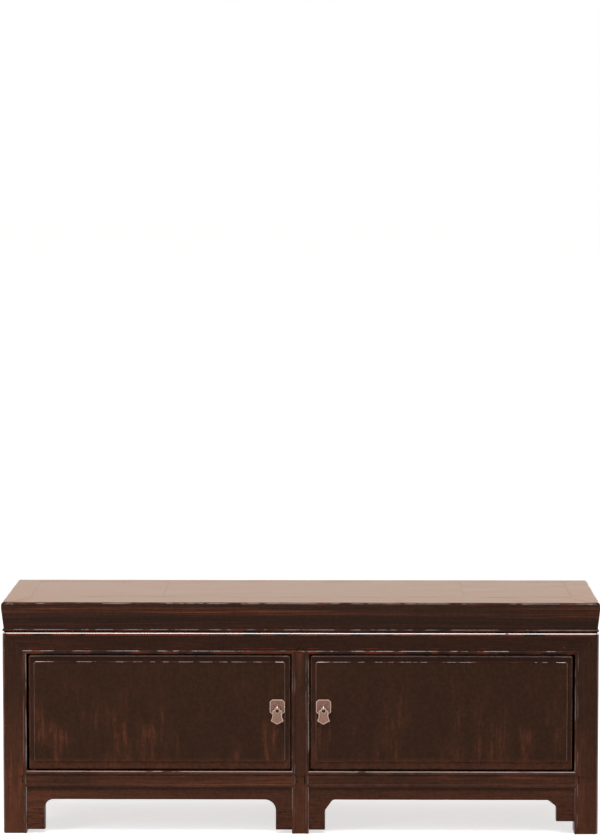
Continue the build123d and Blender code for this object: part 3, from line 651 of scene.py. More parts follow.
def finish_lacquer(
    name, film, ground, worn, thin, along, across, drift_along=4.0, drift_across=14.0, crisp=0.62,
    grain=0.13, thins_down=None, paler_down=0.0, foot=0.5, cracks=0.0, rough=0.26, coat_ior=2.7,
    flat_gloss=0.0, painted_shade_from=None, dash=(18.0, 140.0), gather=(0.45, 0.62), scuff=(0.16, 0.02),
    relief=0.08, gloss=1.0, painted_light_from=None, dark=PAINTED_SHADE,
):
    """Lacquer over a red-brown ground: streaks, worn edges, worn feet, grime, specks and polish,
    with painted shade in creases and under overhangs, and a painted highlight on an arris.

    thin is how much the ground shows. along and across set the streaks and the slower drift that
    gathers them, grain is the strength of the fine lines, and thins_down, painted_shade_from, scuff
    and painted_light_from are pairs of heights between which something sets in; dark is the colour
    of the painted shade.
    """
    material, graph, fibre, edge = new_finish(name)
    coordinates = graph.node("TexCoord").outputs
    normal = coordinates["Normal"]
    up = graph.node("SeparateXYZ", {0: normal}).outputs[2]
    height = graph.node("SeparateXYZ", {0: coordinates["Object"]}).outputs[2]
    lines = graph.use(streaks, Vector=fibre, Along=along, Across=across, Low=0.45, High=crisp)
    fine = lines["Fine"]
    gathers = {"Along": drift_along, "Across": drift_across, "Low": gather[0], "High": gather[1]}
    patches = graph.use(streaks, Vector=fibre, **gathers)["Mask"]
    mottle = graph.out("TexNoise", {"Vector": fibre, "Scale": 130.0, "Detail": 6.0})

    if thins_down:
        patches = graph.times(patches, graph.between(height, *thins_down, 0.1, 1.0))
    wisps = graph.times(lines["Mask"], graph.between(fine, 0.3, 0.6, 0.4, 1.0))
    shows = graph.add(graph.times(wisps, patches, thin), graph.times(patches, 0.2 * thin))
    if paler_down:
        shows = graph.add(shows, graph.times(graph.between(height, 0.42, -0.1), paler_down))
    if flat_gloss:
        shows = graph.times(shows, graph.between(up, 0.6, 0.95, 1.0, 0.35))
    colour = graph.blend(shows, film, ground)
    # Painted shade: past the given heights the colour turns to dark, as shade under an overhang.
    if painted_shade_from:
        wavy_height = graph.add(height, graph.times(fine, 0.012))
        darker = graph.between(wavy_height, *(limit + 0.006 for limit in painted_shade_from), 0.0, 0.8)
        colour = graph.blend(darker, colour, dark)
    fine_tone = graph.between(fine, 0.3, 0.7, 1 - grain, 1 + grain)
    shade = graph.times(fine_tone, graph.between(mottle, 0.3, 0.7, 0.88, 1.12))
    tone = graph.out("CombineColor", {0: shade, 1: shade, 2: shade})
    colour = graph.blend(1.0, colour, tone, blend_type="MULTIPLY")

    rubbed = graph.use(
        wear, Vector=fibre, Edge=edge, Facing=normal, Length=dash[0], Width=dash[1]
    )
    low_down = graph.between(height, *scuff)
    scuffed = graph.times(low_down, graph.between(mottle, 0.38, 0.62, 0.45, 1.0), foot)
    bare = graph.add(graph.times(rubbed["Worn"], RUBBED_THROUGH), scuffed)
    colour = graph.blend(bare, colour, worn)
    # Painted highlight: a grey line on an exposed arris above the given heights, broken by the
    # mottle.
    if painted_light_from:
        lies = graph.times(graph.between(height, *painted_light_from), graph.between(edge, 0.4, 0.75))
        lies = graph.times(lies, graph.between(mottle, 0.3, 0.5, 0.35, 0.9))
        colour = graph.blend(lies, colour, PAINTED_ARRIS_LIGHT)
    if cracks:
        apart = graph.out("Math", {0: fine, 1: 0.44, 2: 0.017}, operation="COMPARE")
        cracked = graph.times(apart, graph.between(height, 0.075, 0.045), cracks)
        colour = graph.blend(cracked, colour, DEEP)
    # Grime in the seams, and painted shade in the creases beside the beads.
    colour = graph.blend(graph.times(rubbed["Grime and shade"], 0.8), colour, DEEP)
    colour = graph.blend(graph.use(specks, Vector=fibre)["Mask"], colour, SPECK)

    polish = graph.times(rubbed["Polished"], gloss)
    if flat_gloss:
        polish = graph.add(polish, graph.times(graph.between(up, 0.8, 0.97), flat_gloss))
    raised = {"Height": fine, "Strength": relief, "Distance": FINE_RELIEF_M}
    skin = {
        "Base Color": colour,
        "Roughness": graph.between(fine, 0.3, 0.7, rough * 0.7, rough * 1.3),
        "Specular IOR Level": 0.04,
        "Coat Weight": polish,
        "Coat IOR": coat_ior,
        "Coat Roughness": 0.14,
        "Normal": graph.out("Bump", raised),
    }
    graph.surface(graph.out("BsdfPrincipled", skin))
    return material


# %% [markdown]
# One function could paint the whole cabinet with one lacquer, but time has not treated its members
# alike. The legs and rails show the ground in soft streaks, the rail under the top stayed dark, the
# aprons near the floor are pale and cracked, the doors are worn low down, where feet and brooms
# reach, and the top is polished. Each kind of member therefore has values of its own.

# %% Lacquer for each kind of member
WORN, RED = (0.085, 0.028, 0.015, 1), (0.13, 0.026, 0.011, 1)
FRAME, THIN = (0.031, 0.0130, 0.0073, 1), (0.096, 0.0315, 0.0162, 1)
case_wood = (FRAME, THIN, WORN)
frame_finish = finish_lacquer(
    "frame_lacquer", *case_wood, 0.8, 5.0, 50.0, paler_down=0.5, grain=0.08
)
quiet_finish = finish_lacquer(
    "quiet_lacquer", *case_wood, 0.4, 5.0, 50.0, paler_down=0.3, grain=0.06
)
rail_finish = finish_lacquer(
    "rail_lacquer", *case_wood, 0.65, 4.0, 90.0, paler_down=0.2, gloss=0.26
)
# The apron's top is darkened by painted shade, under the bottom rail.
apron_finish = finish_lacquer(
    "apron_lacquer", *case_wood, 0.8, 4.0, 90.0, paler_down=0.22, cracks=0.9,
    painted_shade_from=(0.0895, 0.0935),
)
upper_finish = finish_lacquer(
    "upper_lacquer", (0.0255, 0.0102, 0.0060, 1), (0.045, 0.0155, 0.0085, 1), RED, 0.6, 3.0, 70.0,
    grain=0.08, dash=(30.0, 140.0),
)
door_wood = ((0.0310, 0.0130, 0.0067, 1), (0.086, 0.0275, 0.0140, 1), WORN)
# The doors get painted shade along their top, under the rail above, and a painted highlight on
# their upper arris.
door_look = dict(
    along=20.0, across=120.0, drift_along=9.0, drift_across=24.0, grain=0.0, thins_down=(0.37, 0.2),
    foot=0.62, dash=(34.0, 46.0), gather=(0.46, 0.68), scuff=(0.163, 0.15), relief=0.02,
    painted_shade_from=(0.3590, 0.3625), painted_light_from=(0.3738, 0.3750), dark=(0.0250, 0.0080, 0.0055, 1),
)
door_finish = finish_lacquer("door_lacquer", *door_wood, 0.9, **door_look)
quiet_door_finish = finish_lacquer("quiet_door_lacquer", *door_wood, 0.65, **door_look)
# The lower part of the top's edge, which leans in under the arris, is darkened by painted shade.
top_finish = finish_lacquer(
    "top_lacquer", (0.033, 0.0135, 0.0078, 1), (0.128, 0.036, 0.0165, 1), WORN, 0.9, 2.2, 300.0,
    drift_along=0.8, drift_across=70.0, crisp=0.56, grain=0.28, foot=0.0, rough=0.14, coat_ior=1.9,
    flat_gloss=0.35, painted_shade_from=(0.466, 0.455), dash=(26.0, 140.0),
)
print("lacquers:", [m.name for m in bpy.data.materials if m.name.endswith("_lacquer")])

# %% [markdown]
# ## Bare wood and old brass
# Nobody lacquered what the doors hide: the wood inside only darkened with age. The pulls are thin
# brass, dull where grime gathers and bright where fingers rub, with painted shade round the drop's
# hole and a painted glint on the pin's ring. Both could be flat colours, but a few masks of the
# same kind as before make them look used.

# %% Bare wood and brass
def finish_bare_wood():
    """Unfinished inside wood, darkened by age: pale brown with darker growth lines."""
    material, graph, fibre, edge = new_finish("bare_wood")
    lines = graph.use(streaks, Vector=fibre, Along=3.0, Across=170.0, Low=0.35)
    colour = graph.blend(lines["Mask"], (0.22, 0.125, 0.07, 1), (0.13, 0.068, 0.036, 1))
    colour = graph.blend(graph.times(edge, 0.3), colour, (0.26, 0.16, 0.1, 1))
    bump = graph.out("Bump", {"Height": lines["Fine"], "Strength": 0.4, "Distance": FINE_RELIEF_M})
    skin = {"Base Color": colour, "Roughness": 0.75, "Specular IOR Level": 0.3, "Normal": bump}
    graph.surface(graph.out("BsdfPrincipled", skin))
    return material


def finish_brass():
    """Old pinkish brass: dull in the hollows, lighter where it is handled, with painted shade round
    the drop's hole and a painted glint, near white, on the top of the pin's ring.
    """
    material, graph, fibre, edge = new_finish("aged_brass")
    cloud = graph.out("TexNoise", {"Vector": fibre, "Scale": 420.0, "Detail": 4.0})
    dull = graph.between(cloud, 0.4, 0.62)
    colour = graph.blend(dull, (0.225, 0.118, 0.085, 1), (0.135, 0.060, 0.040, 1))
    # Exposure up to one is rubbed brass; from one to two it is a painted glint, near white; below
    # zero it is patina in the rim's crease and painted shade round the drop's hole.
    for low, high, most, shade in (
        (0.0, 0.5, 1.0, (0.285, 0.170, 0.127, 1)),
        (0.5, 1.0, 1.0, (0.47, 0.32, 0.26, 1)),
        (1.0, 2.0, 1.0, (1.0, 0.94, 0.86, 1)),
        (0.0, -1.0, 0.85, (0.035, 0.018, 0.012, 1)),
    ):
        colour = graph.blend(graph.between(edge, low, high, 0.0, most), colour, shade)
    rough = graph.add(graph.between(cloud, 0.3, 0.7, 0.4, 0.6), graph.times(edge, -0.26))
    skin = {"Base Color": colour, "Roughness": rough, "Metallic": 0.55}
    graph.surface(graph.out("BsdfPrincipled", skin))
    return material


inside_finish, brass_finish = finish_bare_wood(), finish_brass()
print("finishes:", [m.name for m in bpy.data.materials])

# %% [markdown]
# ## The case frame
# The front of the frame is joined so that the bead runs round each opening without a break: the
# top rail meets the corner legs in a mitre, the bottom rails end in points that are let into the
# legs, and the centre leg's own point is let into the top rail. Where two members share the face,
# one of them is cut back a little, along the same diagonal, and the other lies in that place. A
# boolean could cut these joints, but it leaves ragged faces; here the rows of points bend to them.

# %% Places on the cabinet
HALF, INNER, CENTRE = 625.0, 575.0, 18.0  # half width, corner legs' inner face, half centre leg
FRONT, BACK = -190.0, 190.0
LEG_Y, RAIL_Y = 140.0, 150.0  # inner faces of the legs and of the front and back rails
SIDE_X = HALF - 40.0  # inner face of the side rails
RAIL_LOW, OPEN_LOW, OPEN_HIGH, CASE_TOP, TOP = 98.0, 133.0, 381.0, 428.0, 490.0
RAIL_MID = (RAIL_LOW + OPEN_LOW) / 2
REACH = (OPEN_LOW - RAIL_LOW) / 2  # how far a bottom rail's point enters a leg
BEAD, PROUD = 8.0, 2.0
LET_IN = 1.2  # a leg's face is cut back this much under a rail's point
STEP = 0.15  # half the width of that little step
CASE_ROUND = 8.0  # rounded upper arris of the case
EASE = 0.8  # eased edges that hardly show


def soften_top(part):
    """Rounds the case's upper arris: above it nothing stands further out than a quarter circle."""
    points = part["points"]
    rise = np.clip(points[..., 2] - (CASE_TOP - CASE_ROUND), 0, CASE_ROUND)
    back = CASE_ROUND - np.sqrt(CASE_ROUND**2 - rise**2)
    points[..., 0] = np.clip(points[..., 0], -HALF + back, HALF - back)
    points[..., 1] = np.clip(points[..., 1], FRONT - PROUD + back, BACK - back)
    on_face = (points[..., 1] < FRONT + CASE_ROUND) & (rise > 0)
    points[..., 1] = np.where(on_face, np.maximum(points[..., 1], FRONT + back), points[..., 1])
    worn = np.where((rise > 0.5) & (back < CASE_ROUND), 1.0, 0.0)
    outer = (points[..., 1] < FRONT + CASE_ROUND) | (abs(points[..., 0]) > HALF - CASE_ROUND)
    part["edge"] = np.maximum(part["edge"], 0.5 * worn * outer)
    return part


print("each door opening is", INNER - CENTRE, "by", OPEN_HIGH - OPEN_LOW, "mm")

# %% Front legs
def notch_rows(depth_in, top):
    """Rows up a front leg, bent round the rail's point: its reach less the depth, up and down."""
    reach = np.maximum(REACH - depth_in, 2 * STEP)
    low, high = RAIL_MID - reach, RAIL_MID + reach
    knots = [(0, 0), (0.5, 1), (3, 4), (12, 3), (low - 1, 16)]
    knots += [(low - STEP, 1), (low + STEP, 1), (high - STEP, 2), (high + STEP, 1), (high + 1, 1)]
    knots += [(top - 9, 46), (top - 0.5, 10), (top, 1)]
    return rows_between(len(depth_in), *knots), reach


def let_in(rows, reach, where=True, middle=RAIL_MID):
    """Depth of the place cut for a member's point: LET_IN between the two diagonals."""
    return LET_IN * ((abs(rows - middle) <= reach) & (reach > 2 * STEP + 0.01) & where)


def front_corner_leg(seed):
    """Left corner leg: square, beaded on its inner front edge, mitred under the top rail."""
    outline = section(
        (-HALF, FRONT, 5.0),
        *bead((-INNER - BEAD, FRONT), (-INNER, FRONT), PROUD, 0, 0.6),
        (-INNER, -LEG_Y, 1.2),
        (-HALF, -LEG_Y, 1.2),
    )
    x, y = outline[0].T
    mitred = OPEN_HIGH + np.clip(-INNER - x, 0, CASE_TOP - OPEN_HIGH)
    top = np.where(y < -RAIL_Y, mitred, CASE_TOP)
    rows, reach = notch_rows(np.where(y < FRONT + 1, -INNER - x, REACH), top)
    sink = let_in(rows, reach, y < FRONT + 1)
    return soften_top(bar("z", outline, rows, seed, sink=sink, round_ends=(2.5, 0.0)))


def front_centre_leg(seed):
    """Centre leg: a bead on both front edges, and a point that is let into the top rail."""
    outline = section(
        *bead((-CENTRE, FRONT), (-CENTRE + BEAD, FRONT), PROUD, -1, 0.55),
        *bead((CENTRE - BEAD, FRONT), (CENTRE, FRONT), PROUD, 0, 0.62),
        (CENTRE, -LEG_Y, 1.2),
        (-CENTRE, -LEG_Y, 1.2),
    )
    x, y = outline[0].T
    depth_in = CENTRE - abs(x)
    top = OPEN_HIGH + np.where(y < FRONT + 1, depth_in, 0)
    rows, reach = notch_rows(np.where(y < FRONT + 1, depth_in, REACH), top)
    sink = let_in(rows, reach, y < FRONT + 1)
    return bar("z", outline, rows, seed, sink=sink, round_ends=(2.5, 0.0))


leg_finishes = (frame_finish, quiet_finish)
make_pairs(("leg_front", "case", "lacquer", leg_finishes, front_corner_leg, (11,), (12,)))
make_piece("leg_front_centre", "case", "lacquer", frame_finish, front_centre_leg(13))

# %% Front rails
def front_top_rail(seed):
    """Top rail: beaded below, rounded above, mitred at its ends, notched over the centre leg."""
    above_bead = ((10.6, 0.0), (11.4, 0.66), (12.6, 0.66), (13.6, 0.0))  # a thin rubbed line
    outline = section(
        *bead((FRONT, OPEN_HIGH), (FRONT, OPEN_HIGH + BEAD), -PROUD, -1, 0.76),
        *[(FRONT, OPEN_HIGH + rise, 0, exposed) for rise, exposed in above_bead],
        (FRONT, CASE_TOP, CASE_ROUND),
        (-RAIL_Y, CASE_TOP, EASE),
        (-RAIL_Y, OPEN_HIGH, EASE),
    )
    y, z = outline[0].T
    end = INNER + (z - OPEN_HIGH)
    notch = np.where(y < FRONT + 1, np.maximum(CENTRE - (z - OPEN_HIGH), 2 * STEP), 2 * STEP)
    rows = rows_between(
        len(z), (-end, 0), (-end + 0.5, 1), (-notch - 1, 110), (-notch - STEP, 1),
        (-notch + STEP, 1), (notch - STEP, 4), (notch + STEP, 1), (notch + 1, 1),
        (end - 0.5, 110), (end, 1),
    )
    return bar("x", outline, rows, seed, sink=let_in(rows, notch, middle=0.0))


def front_bottom_rail(seed):
    """Left bottom rail: a bead above and below, and both ends run out to a point."""
    outline = section(
        *bead((FRONT, RAIL_LOW), (FRONT, RAIL_LOW + BEAD), -PROUD, -1, 0.5),
        *bead((FRONT, OPEN_LOW - BEAD), (FRONT, OPEN_LOW), -PROUD, 0, 0.92, 1.0),
        (-RAIL_Y, OPEN_LOW, EASE),
        (-RAIL_Y, RAIL_LOW, EASE),
    )
    y, z = outline[0].T
    point = np.where(y < FRONT + 0.01, REACH - abs(z - RAIL_MID), 0)
    left, right = -INNER - point, -CENTRE + point
    rows = rows_between(len(z), (left, 0), (left + 0.5, 1), (right - 0.5, 130), (right, 1))
    return bar("x", outline, rows, seed)


make_piece("rail_front_top", "case", "lacquer", upper_finish, front_top_rail(21))
make_pairs(("rail_front_bottom", "case", "lacquer", rail_finish, front_bottom_rail, (22,), (23,)))

# %% [markdown]
# The rest of the frame is plain: square legs behind, rails on all four sides, and a cross rail
# above and below between the two centre legs. These members only have eased edges, so one function
# makes them all.

# %% Plain members
def plain_bar(axis, low, high, seed, ease=1.2, spacing=9.0, **hand):
    """Square bar between two opposite corners, with eased edges; the case's arris stays round."""
    along, a, b = AXES[axis]
    corners = rectangle(low[a], high[a], low[b], high[b])
    outline = section(*[(u, v, ease, 0.6) for u, v in corners])
    count = max(4, int((high[along] - low[along]) / spacing))
    knots = [(low[along], 0), (low[along] + 0.5, 1), (low[along] + 3, 2)]
    knots += [(high[along] - 3, count), (high[along] - 0.5, 2), (high[along], 1)]
    rows = rows_between(len(outline[0]), *knots)
    return soften_top(bar(axis, outline, rows, seed, round_ends=(0.8, 0.8), **hand))


def on_both_sides(name, slot, finish, seeds, axis, low, high, ease=1.2):
    """Row for make_pairs: one plain bar, with a seed of its own on either side."""
    return name, "case", slot, finish, plain_bar, *((axis, low, high, seed, ease) for seed in seeds)


def inside_member(name, axis, low, high, seed):
    """Plain bar of bare wood."""
    make_piece(name, "case", "bare_wood", inside_finish, plain_bar(axis, low, high, seed))


corner = "z", (-HALF, LEG_Y, 0), (-INNER, BACK, CASE_TOP)
make_pairs(on_both_sides("leg_back", "bare_wood", frame_finish, (31, 32), *corner, ease=2.0))
inside_member("leg_back_centre", "z", (-CENTRE, LEG_Y, 0), (CENTRE, BACK, OPEN_HIGH), 33)
back_bottom = "x", (-INNER, RAIL_Y, RAIL_LOW), (-CENTRE, BACK, OPEN_LOW)
side_bottom = "y", (-HALF, -LEG_Y, RAIL_LOW), (-SIDE_X, LEG_Y, OPEN_LOW)
side_top = "y", (-HALF, -LEG_Y, OPEN_HIGH), (-SIDE_X, LEG_Y, CASE_TOP)
make_pairs(
    on_both_sides("rail_back_bottom", "bare_wood", inside_finish, (41, 45), *back_bottom),
    on_both_sides("rail_side_bottom", "lacquer", frame_finish, (42, 46), *side_bottom),
    on_both_sides("rail_side_top", "lacquer", frame_finish, (43, 47), *side_top),
)
inside_member("rail_back_top", "x", (-INNER, RAIL_Y, OPEN_HIGH), (INNER, BACK, CASE_TOP), 51)
inside_member("rail_cross_top", "y", (-CENTRE, -RAIL_Y, OPEN_HIGH), (CENTRE, RAIL_Y, CASE_TOP), 52)
inside_member("rail_cross_bottom", "y", (-CENTRE, -LEG_Y, RAIL_LOW), (CENTRE, LEG_Y, OPEN_LOW), 53)

# %% [markdown]
# ## Panels, floor, battens and stops
# Thin boards fill the frame. A board is a slab: rings of a rounded rectangle run from the middle
# of one face to its rim, over the edge, and back to the middle of the other face. A scaled cube
# would do for a hidden board, but rings give the faces points enough to lie a little uneven.

# %% Rings
ARC_STEPS, SIDE_STEPS = 6, 26


def ring(x0, x1, z0, z1, radius):
    """Rounded rectangles; each argument is a column with one number per ring.

    A corner point is the corner's centre plus radius * (cos, sin); side points lie evenly between
    the arcs. Rings of all sizes have the same number of points.
    """
    turn = np.linspace(0, np.pi / 2, ARC_STEPS)
    share = np.arange(1, SIDE_STEPS)[:, None] / SIDE_STEPS
    centres = rectangle(x0 + radius, x1 - radius, z0 + radius, z1 - radius)
    arcs = []
    for quarter, (x, z) in zip((-1, 0, 1, 2), centres[1:] + centres[:1]):
        angle = turn + quarter * np.pi / 2
        arcs.append(np.stack([x + radius * np.cos(angle), z + radius * np.sin(angle)], -1))
    parts = []
    for arc, following in zip(arcs, arcs[1:] + arcs[:1]):
        start, end = arc[:, -1:], following[:, :1]
        parts += [arc, start + (end - start) * share]
    return np.concatenate(parts, 1)


print("every ring has", 4 * (ARC_STEPS + SIDE_STEPS - 1), "points")

# %% Slabs
def ripples(x, z, seed, size):
    """Slow waves over a flat face: the mean of four sine waves in different directions."""
    rng = np.random.default_rng(seed)
    angle, length = rng.uniform(0, np.pi, WAVES), rng.uniform(90, 260, WAVES)
    phase = rng.uniform(0, 6.28, WAVES)
    along = x[..., None] * np.cos(angle) + z[..., None] * np.sin(angle)
    return size * (1 + np.sin(2 * np.pi * along / length + phase).mean(-1)) / 2


FLAT_ORDER = {"x": (1, 2, 0), "y": (0, 2, 1), "z": (0, 1, 2)}  # (across, up, through) per axis
TOWARDS_RIM = np.array([0.04, 0.3, 0.6, 0.85])


def slab(axis, spec, seed, grain, size=0.25):
    """A board as rings, each (u0, u1, v0, v1, corner radius, place through the board, exposure).

    Inside the first and the last ring, the face is filled by rings scaled towards its middle. Both
    faces sink by slow ripples. axis is the thin one, and grain the one that the fibres follow.
    """
    spec = np.array(spec, float)
    rings = ring(*spec[:, :5].T[..., None])
    middle = rings[0].mean(0)
    front = middle + (rings[:1] - middle) * TOWARDS_RIM[:, None, None]
    rear = middle + (rings[-1:] - middle) * TOWARDS_RIM[::-1, None, None]
    flat = np.concatenate([front, rings, rear])
    inside = len(TOWARDS_RIM)
    through, edge = (np.pad(spec[:, k], inside, mode="edge") for k in (5, 6))
    facing = np.where(abs(through - through[0]) < abs(through - through[-1]), 1.0, -1.0)
    facing *= np.sign(through[-1] - through[0])
    wave = ripples(flat[..., 0], flat[..., 1], seed, size)
    u, v, w = FLAT_ORDER[axis]
    grid = np.empty(flat.shape[:2] + (3,))
    grid[..., u], grid[..., v] = flat[..., 0], flat[..., 1]
    grid[..., w] = through[:, None] + wave * facing[:, None]
    fibre = grid[..., list(AXES[grain])] + seed * SEED_SHIFT
    return shell(grid, fibre, np.repeat(edge[:, None], flat.shape[1], 1))


# %% Boards
def inset_rings(box, levels):
    """A slab's rings from (inset, corner radius, place, exposure): a box drawn in on every side."""
    u0, u1, v0, v1 = box
    return [(u0 + i, u1 - i, v0 + i, v1 - i, radius, w, edge) for i, radius, w, edge in levels]


def board(axis, low, high, seed, grain, ease=EASE, size=0.25, worn=1.0):
    """Plain board between two opposite corners, with eased edges; worn is below zero in a seam."""
    u, v, w = FLAT_ORDER[axis]
    side = [(ease + 2.5, 0, 0), (ease + 0.5, 0, 0), (ease, 0, 0.6 * worn)]
    side += [(0.3 * ease, 0.3 * ease, worn), (0, ease, 0.6 * worn)]
    levels = [(inset, ease, low[w] + deep, edge) for inset, deep, edge in side]
    levels += [(inset, ease, high[w] - deep, edge) for inset, deep, edge in side[::-1]]
    return slab(axis, inset_rings((low[u], high[u], low[v], high[v]), levels), seed, grain, size)


BOARDS = (  # name, body, slot, finish, (thin axis, grain's axis), first seed
    ("panel_side", "case", "lacquer", frame_finish, "xy", 61),
    ("panel_back", "case", "bare_wood", inside_finish, "yx", 63),
    ("floor_board", "case", "bare_wood", inside_finish, "zx", 65),
    ("top_batten", "case", "bare_wood", inside_finish, "zy", 67),
    ("door_stop", "case", "bare_wood", inside_finish, "yz", 69),
    ("door_batten_upper", "door_{}", "bare_wood", inside_finish, "yx", 71),
    ("door_batten_lower", "door_{}", "bare_wood", inside_finish, "yx", 71),
)
for number, side in enumerate(SIDES):
    for name, body, slot, finish, (thin_axis, grain), seed in BOARDS:
        node = f"{name}_{side}"
        low, high = (np.array(corner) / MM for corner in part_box(node))
        part = board(thin_axis, low, high, seed + number, grain)
        make_piece(node, body.format(side), slot, finish, part)

# %% [markdown]
# ## Aprons with bracket feet
# Under each bottom rail hangs an apron, cut from one board: an arch between two brackets. The lower
# edge is one polyline with rounded corners, from foot to foot. The apron is then a strip: each
# station runs from a point of that edge up to the rail, so the same cross-section serves the foot,
# the curve and the straight part.

# %% Aprons
APRON_FACE, APRON_THICK, CROWN = -188.5, 22.0, 72.0
SIDE_FACE = -623.5
FOOT_Z, WORN_FOOT_Z = 8, 27  # lower ends of the brackets; the right-hand one has worn away
CLIMB = (0.25, 0.5, 0.75, 1.0)  # shares of the way from the rim up to the rail


def rounded_line(corners, steps=None):
    """Line through (u, v, radius) corners: arcs at all of them but the first and the last."""
    spots = np.array([corner[:2] for corner in corners], float)
    line = [spots[:1]]
    for i in range(1, len(corners) - 1):
        line.append(rounded(spots[i - 1], spots[i], spots[i + 1], corners[i][2], steps)[2:-2])
    return np.vstack(line + [spots[-1:]])


def at_stops(line, stops):
    """Points of a line at the given distances from its start."""
    return np.stack([np.interp(stops, run_along(line), line[:, k]) for k in (0, 1)], 1)


def arch_line(corners, spacing=3.0):
    """Points along an apron's lower edge, with their unit inward directions and their shares."""
    line = rounded_line(corners, 9)
    run = run_along(line)
    stops = np.union1d(run, np.arange(0, run[-1], spacing))
    stops = stops[np.concatenate([[True], np.diff(stops) > 0.12])]
    points = at_stops(line, stops)
    ahead = np.gradient(points, axis=0)
    return points, unit(np.stack([-ahead[:, 1], ahead[:, 0]], 1)), stops / stops[-1]


def apron(corners, face, seed):
    """Strip between an arched edge, given as (u, z, radius) corners, and the rail above it."""
    low, inward, share = arch_line(corners)
    back = face + APRON_THICK
    side = [(3.0, 0, 0), (1.6, 0, 0.4), (0.8, 0.3, 1), (0.25, 0.9, 1), (0, 1.8, 0.6), (0, 3.2, 0)]
    rim = [(d, face + t, e) for d, t, e in side] + [(d, back - t, e) for d, t, e in side[::-1]]
    top_u = low[:, 0].copy()
    left, right = low[:, 0] <= corners[1][0] + 1e-6, low[:, 0] >= corners[-2][0] - 1e-6
    for here, first, last in ((left, corners[0], corners[1]), (right, corners[-2], corners[-1])):
        top_u[here] = np.interp(share[here], share[here][[0, -1]], [first[0], last[0]])
    top_line = np.stack([top_u, np.full(len(share), RAIL_LOW)], 1)
    foot = low + inward * side[0][0]
    web = [foot + (top_line - foot) * climb for climb in CLIMB]
    flat = np.stack(web[::-1] + [low + inward * d for d, _, _ in rim] + web, 1)
    none = [0] * len(web)
    through = np.array([face] * len(web) + [place for _, place, _ in rim] + [back] * len(web))
    edge = np.array(none + [e for _, _, e in rim] + none, float)
    edge = np.broadcast_to(edge, flat.shape[:2])
    run = np.arange(flat.shape[1]) * 4.0
    depth = uneven(flat[..., 0] + flat[..., 1], run, edge, seed, wave=0.15, bite=1.6, per_metre=60)
    flat = flat + depth[..., None] * inward[:, None, :] * (edge[..., None] > 0)
    y = through[None, :] + depth * (through == face)
    grid = np.stack([flat[..., 0], y, flat[..., 1]], -1)
    return shell(grid, grid + seed * SEED_SHIFT, edge)


# %% Front and side aprons
def front_apron(outer_foot, crown, seed):
    """Front apron from leg to leg; crown holds the corners at the head of the arch."""
    outer, inner = [(-INNER, outer_foot, 0), (-537, outer_foot, 1.5)], [(-52, FOOT_Z, 1.5)]
    return apron([*outer, *crown, *inner, (-CENTRE, FOOT_Z, 0)], APRON_FACE, seed)


def side_apron(seed):
    """The same apron run along the left side: its length goes along y and its thickness along x."""
    corners = [(-LEG_Y, FOOT_Z, 0), (-106, FOOT_Z, 1.5), (-106, CROWN, 20)]
    part = apron(corners + [(-u, z, radius) for u, z, radius in corners[::-1]], SIDE_FACE, seed)
    x, y, z = np.moveaxis(part["points"], -1, 0)
    return shell(np.stack([y, x, z], -1), part["fibre"], part["edge"], part["closed"])


round_crown = [(-537, CROWN, 17), (-52, CROWN, 23)]
cut_crown = [(-537, CROWN - 13, 9), (-520, CROWN, 9), (-68, CROWN, 9), (-52, CROWN - 22, 9)]
left, right = (FOOT_Z, round_crown, 81), (WORN_FOOT_Z, cut_crown, 82)
make_pairs(("apron_front", "case", "lacquer", apron_finish, front_apron, left, right))
make_pairs(("apron_side", "case", "lacquer", apron_finish, side_apron, (83,), (84,)))

# %% [markdown]
# ## The top
# Four heavy rails frame three boards. Their outer face leans in towards a bead at its foot, and
# the upper arris is well rounded. The rails meet in mitres. Where the moulding is, the mitre runs
# at 45 degrees so that the two profiles match, and from there it goes straight to the inner corner.
# The front rail's arris has been knocked in several places, most of all at both corners. Each of
# these knocks is listed one by one, because the eye goes there first.

# %% Top rails
TOP_X, TOP_Y, MOULDING = 627.0, 192.0, 11.0
FRONT_RAIL, BACK_RAIL, END_RAIL = 92.0, 40.0, 55.0
FOOT_IN, CREST_IN, BEAD_TALL, TOP_ROUND = 4.5, 2.0, 6.0, 5.0
BEHIND_ARRIS, UNDER_ARRIS = 14.0, 8.0  # where the flats beside the upper arris are quite flat
ARRIS_IN = 2.6  # depth of the arris's own middle, from the outer face and from the top


def mitre(depth_in, width, other_width):
    """How far a rail's end lies back at a depth behind its outer line."""
    slope = (other_width - MOULDING) / (width - MOULDING)
    return np.where(depth_in < MOULDING, depth_in, MOULDING + (depth_in - MOULDING) * slope)


def top_rail(axis, outer, width, starts, seed, knocks=()):
    """Rail whose section is given by depth behind the outer line; starts is (low, high) mitres.

    outer is the outer line's place, negative for the front and the left. Each entry of starts is
    (the place of the corner, the width of the rail that is met there).
    """
    foot = (FOOT_IN, CASE_TOP), (FOOT_IN, CASE_TOP + BEAD_TALL)
    depths, edge = section(
        (width, CASE_TOP, EASE, 0.0),
        *bead(*foot, CREST_IN - FOOT_IN, -1, 0.75),
        (0, TOP - TOP_ROUND - UNDER_ARRIS, 0.4, 0.0),
        (0, TOP, TOP_ROUND, 0.72),
        (BEHIND_ARRIS, TOP, 0, 0.0),
        (width, TOP, 0.5, -0.8),
    )
    outline = np.stack([outer - np.sign(outer) * depths[:, 0], depths[:, 1]], 1)
    low, high = (
        corner + np.sign(-corner) * mitre(depths[:, 0], width, other) for corner, other in starts
    )
    count = int((starts[1][0] - starts[0][0]) / 3.4)
    rows = rows_between(len(outline), (low, 0), (low + 0.5, 1), (high - 0.5, count), (high, 1))
    hand = {"wave": 0.14, "bite": 0.6, "per_metre": 34, "knocks": knocks}
    return bar(axis, (outline, edge), rows, seed, **hand)


